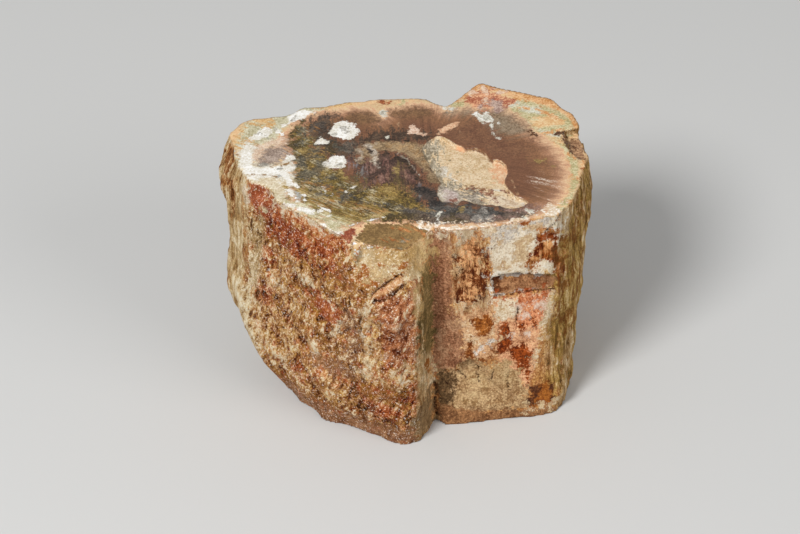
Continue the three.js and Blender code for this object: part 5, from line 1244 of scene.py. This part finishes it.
# The stains' tones also follow the relief, darker in the hollows as painted shade
wall = stained(wall, WALL_STAINS, (0.8 * texture + 0.5 * relief_here + 0.4 * blotch).step(-0.8, 0.9))
rough_here = 1 - 0.6 * split_here - 0.25 * even_here
depth_at = texture + 0.8 * relief_here
# Painted shade: the gaps and hollows between the grains are darkened, partly for their darker colour and
# partly as shadow
gap_shade = depth_at.step(-0.4, -0.95) * (0.35 + 0.6 * granular_here)
wall = (gap_shade * rough_here).blend(wall, GAP_SHADE, "MULTIPLY")
# Painted highlights: the raised grains are lightened towards cream, as if lit
highlight_here = depth_at.step(0.55, 1.1) * rough_here * (0.3 + 0.65 * granular_here)
wall = highlight_here.blend(wall, GRAIN_HIGHLIGHT)
# Painted glints: small bright specks on the grains, as if catching the lamp
glints = (0.6 * speckle + 0.9 * nibble).step(0.75, 1.15) * 0.75 * granular_here
wall = glints.blend(wall, GLINT_COLOUR)
wall = wall.shaded(0.5 + 0.07 * speckle + 0.08 * nibble, 1.0)
# Painted shade darkening the carved cracks and the lines above and below the ledge
crack_shade = (start.attribute("crack") + 0.15 * nibble).step(0.25, -0.12)
wall = (0.88 * crack_shade).blend(wall, CRACK_SHADE)

# The whole: the top's colour above and the sides' below, glossy only where it is polished
GLOSS_GAIN = 0.45  # how much less rough the polish is
MATT_ROUGHNESS = 0.85
BUMP_HEIGHT = 0.0003  # metres
top_here = start.attribute("top")
gloss = top_here.step(0.4, 0.9) * (1 - matt_chip)
height = (1 - top_here) * rough_here * (0.7 * texture + 0.3 * speckle) + matt_chip * top_here * 0.2 * speckle
bump = start.node("ShaderNodeBump", {}, {"Height": height, "Strength": 0.7, "Distance": BUMP_HEIGHT})
shader = start.node("ShaderNodeBsdfPrincipled", {}, {
    "Base Color": top_here.blend(wall, top),
    "Roughness": MATT_ROUGHNESS - GLOSS_GAIN * gloss + 0.03 * nibble * (1 - gloss),
    "Coat Weight": 0.65 * gloss,
    "Coat Roughness": 0.14,
    "Normal": bump,
    "Specular IOR Level": 0.12,
})
start.node("ShaderNodeOutputMaterial", {}, {"Surface": shader})
mesh.materials.append(finish)

# The camera
# It looks down on the block at the photograph's angle, from the same side and distance.
ELEVATION = math.radians(38)
ROLL = math.radians(-2.2)
DISTANCE = 0.590  # metres
LOOKS_AT = Vector((np.array([0.0, 0.0, 24.0]) - MIDDLE) / MILLIMETRES)
LENS = 135  # millimetres
SENSOR_WIDTH = 36  # millimetres
ahead = Vector((0, math.cos(ELEVATION), -math.sin(ELEVATION)))
level_right = Vector((1, 0, 0))
level_up = level_right.cross(ahead)
right = math.cos(ROLL) * level_right + math.sin(ROLL) * level_up
up = -math.sin(ROLL) * level_right + math.cos(ROLL) * level_up
camera = bpy.data.objects.new("camera", bpy.data.cameras.new("camera"))
camera.data.lens = LENS
camera.data.sensor_width = SENSOR_WIDTH
turned = Matrix((right, up, -ahead)).transposed().to_4x4()
camera.matrix_world = Matrix.Translation(LOOKS_AT - DISTANCE * ahead) @ turned
bpy.context.scene.collection.objects.link(camera)
bpy.context.scene.camera = camera

# The floor
# A wide sheet of pale paper, level with the face that the block rests on.
FLOOR_REACH = 3  # metres each way
PAPER_COLOUR = (0.62, 0.62, 0.61, 1)
sides = ((-1, -1), (1, -1), (1, 1), (-1, 1))
corners = [(FLOOR_REACH * across, FLOOR_REACH * back, 0) for across, back in sides]
floor_mesh = bpy.data.meshes.new("floor")
floor_mesh.from_pydata(corners, [], [(0, 1, 2, 3)])
floor = bpy.data.objects.new("floor", floor_mesh)
paper = bpy.data.materials.new("paper")
paper.use_nodes = True
paper_shader = paper.node_tree.nodes["Principled BSDF"]
paper_shader.inputs["Base Color"].default_value = PAPER_COLOUR
paper_shader.inputs["Roughness"].default_value = 0.9
floor_mesh.materials.append(paper)
bpy.context.scene.collection.objects.link(floor)


# The lights
# A large soft lamp above the front left and a weaker one on the right, with an even white surrounding.
AIM = (0, 0, 0.02)  # metres: the middle of the block, which both lamps point at
SURROUNDING = 0.33  # how bright the surrounding is


def area_light(name, place, size, power):
    lamp = bpy.data.lights.new(name, "AREA")
    lamp.shape = "DISK"
    lamp.size = size
    lamp.energy = power
    lamp_object = bpy.data.objects.new(name, lamp)
    lamp_object.location = place
    lamp_object.rotation_mode = "QUATERNION"
    lamp_object.rotation_quaternion = (Vector(AIM) - Vector(place)).to_track_quat("-Z", "Y")
    bpy.context.scene.collection.objects.link(lamp_object)


area_light("key", place=(-0.45, -0.55, 0.75), size=0.35, power=8.4)
area_light("fill", place=(0.7, -0.5, 0.5), size=0.5, power=2.8)
world = bpy.data.worlds.new("world")
world.use_nodes = True
world.node_tree.nodes["Background"].inputs["Color"].default_value = (1, 1, 1, 1)
world.node_tree.nodes["Background"].inputs["Strength"].default_value = SURROUNDING
bpy.context.scene.world = world
bpy.context.scene.view_settings.view_transform = "Standard"
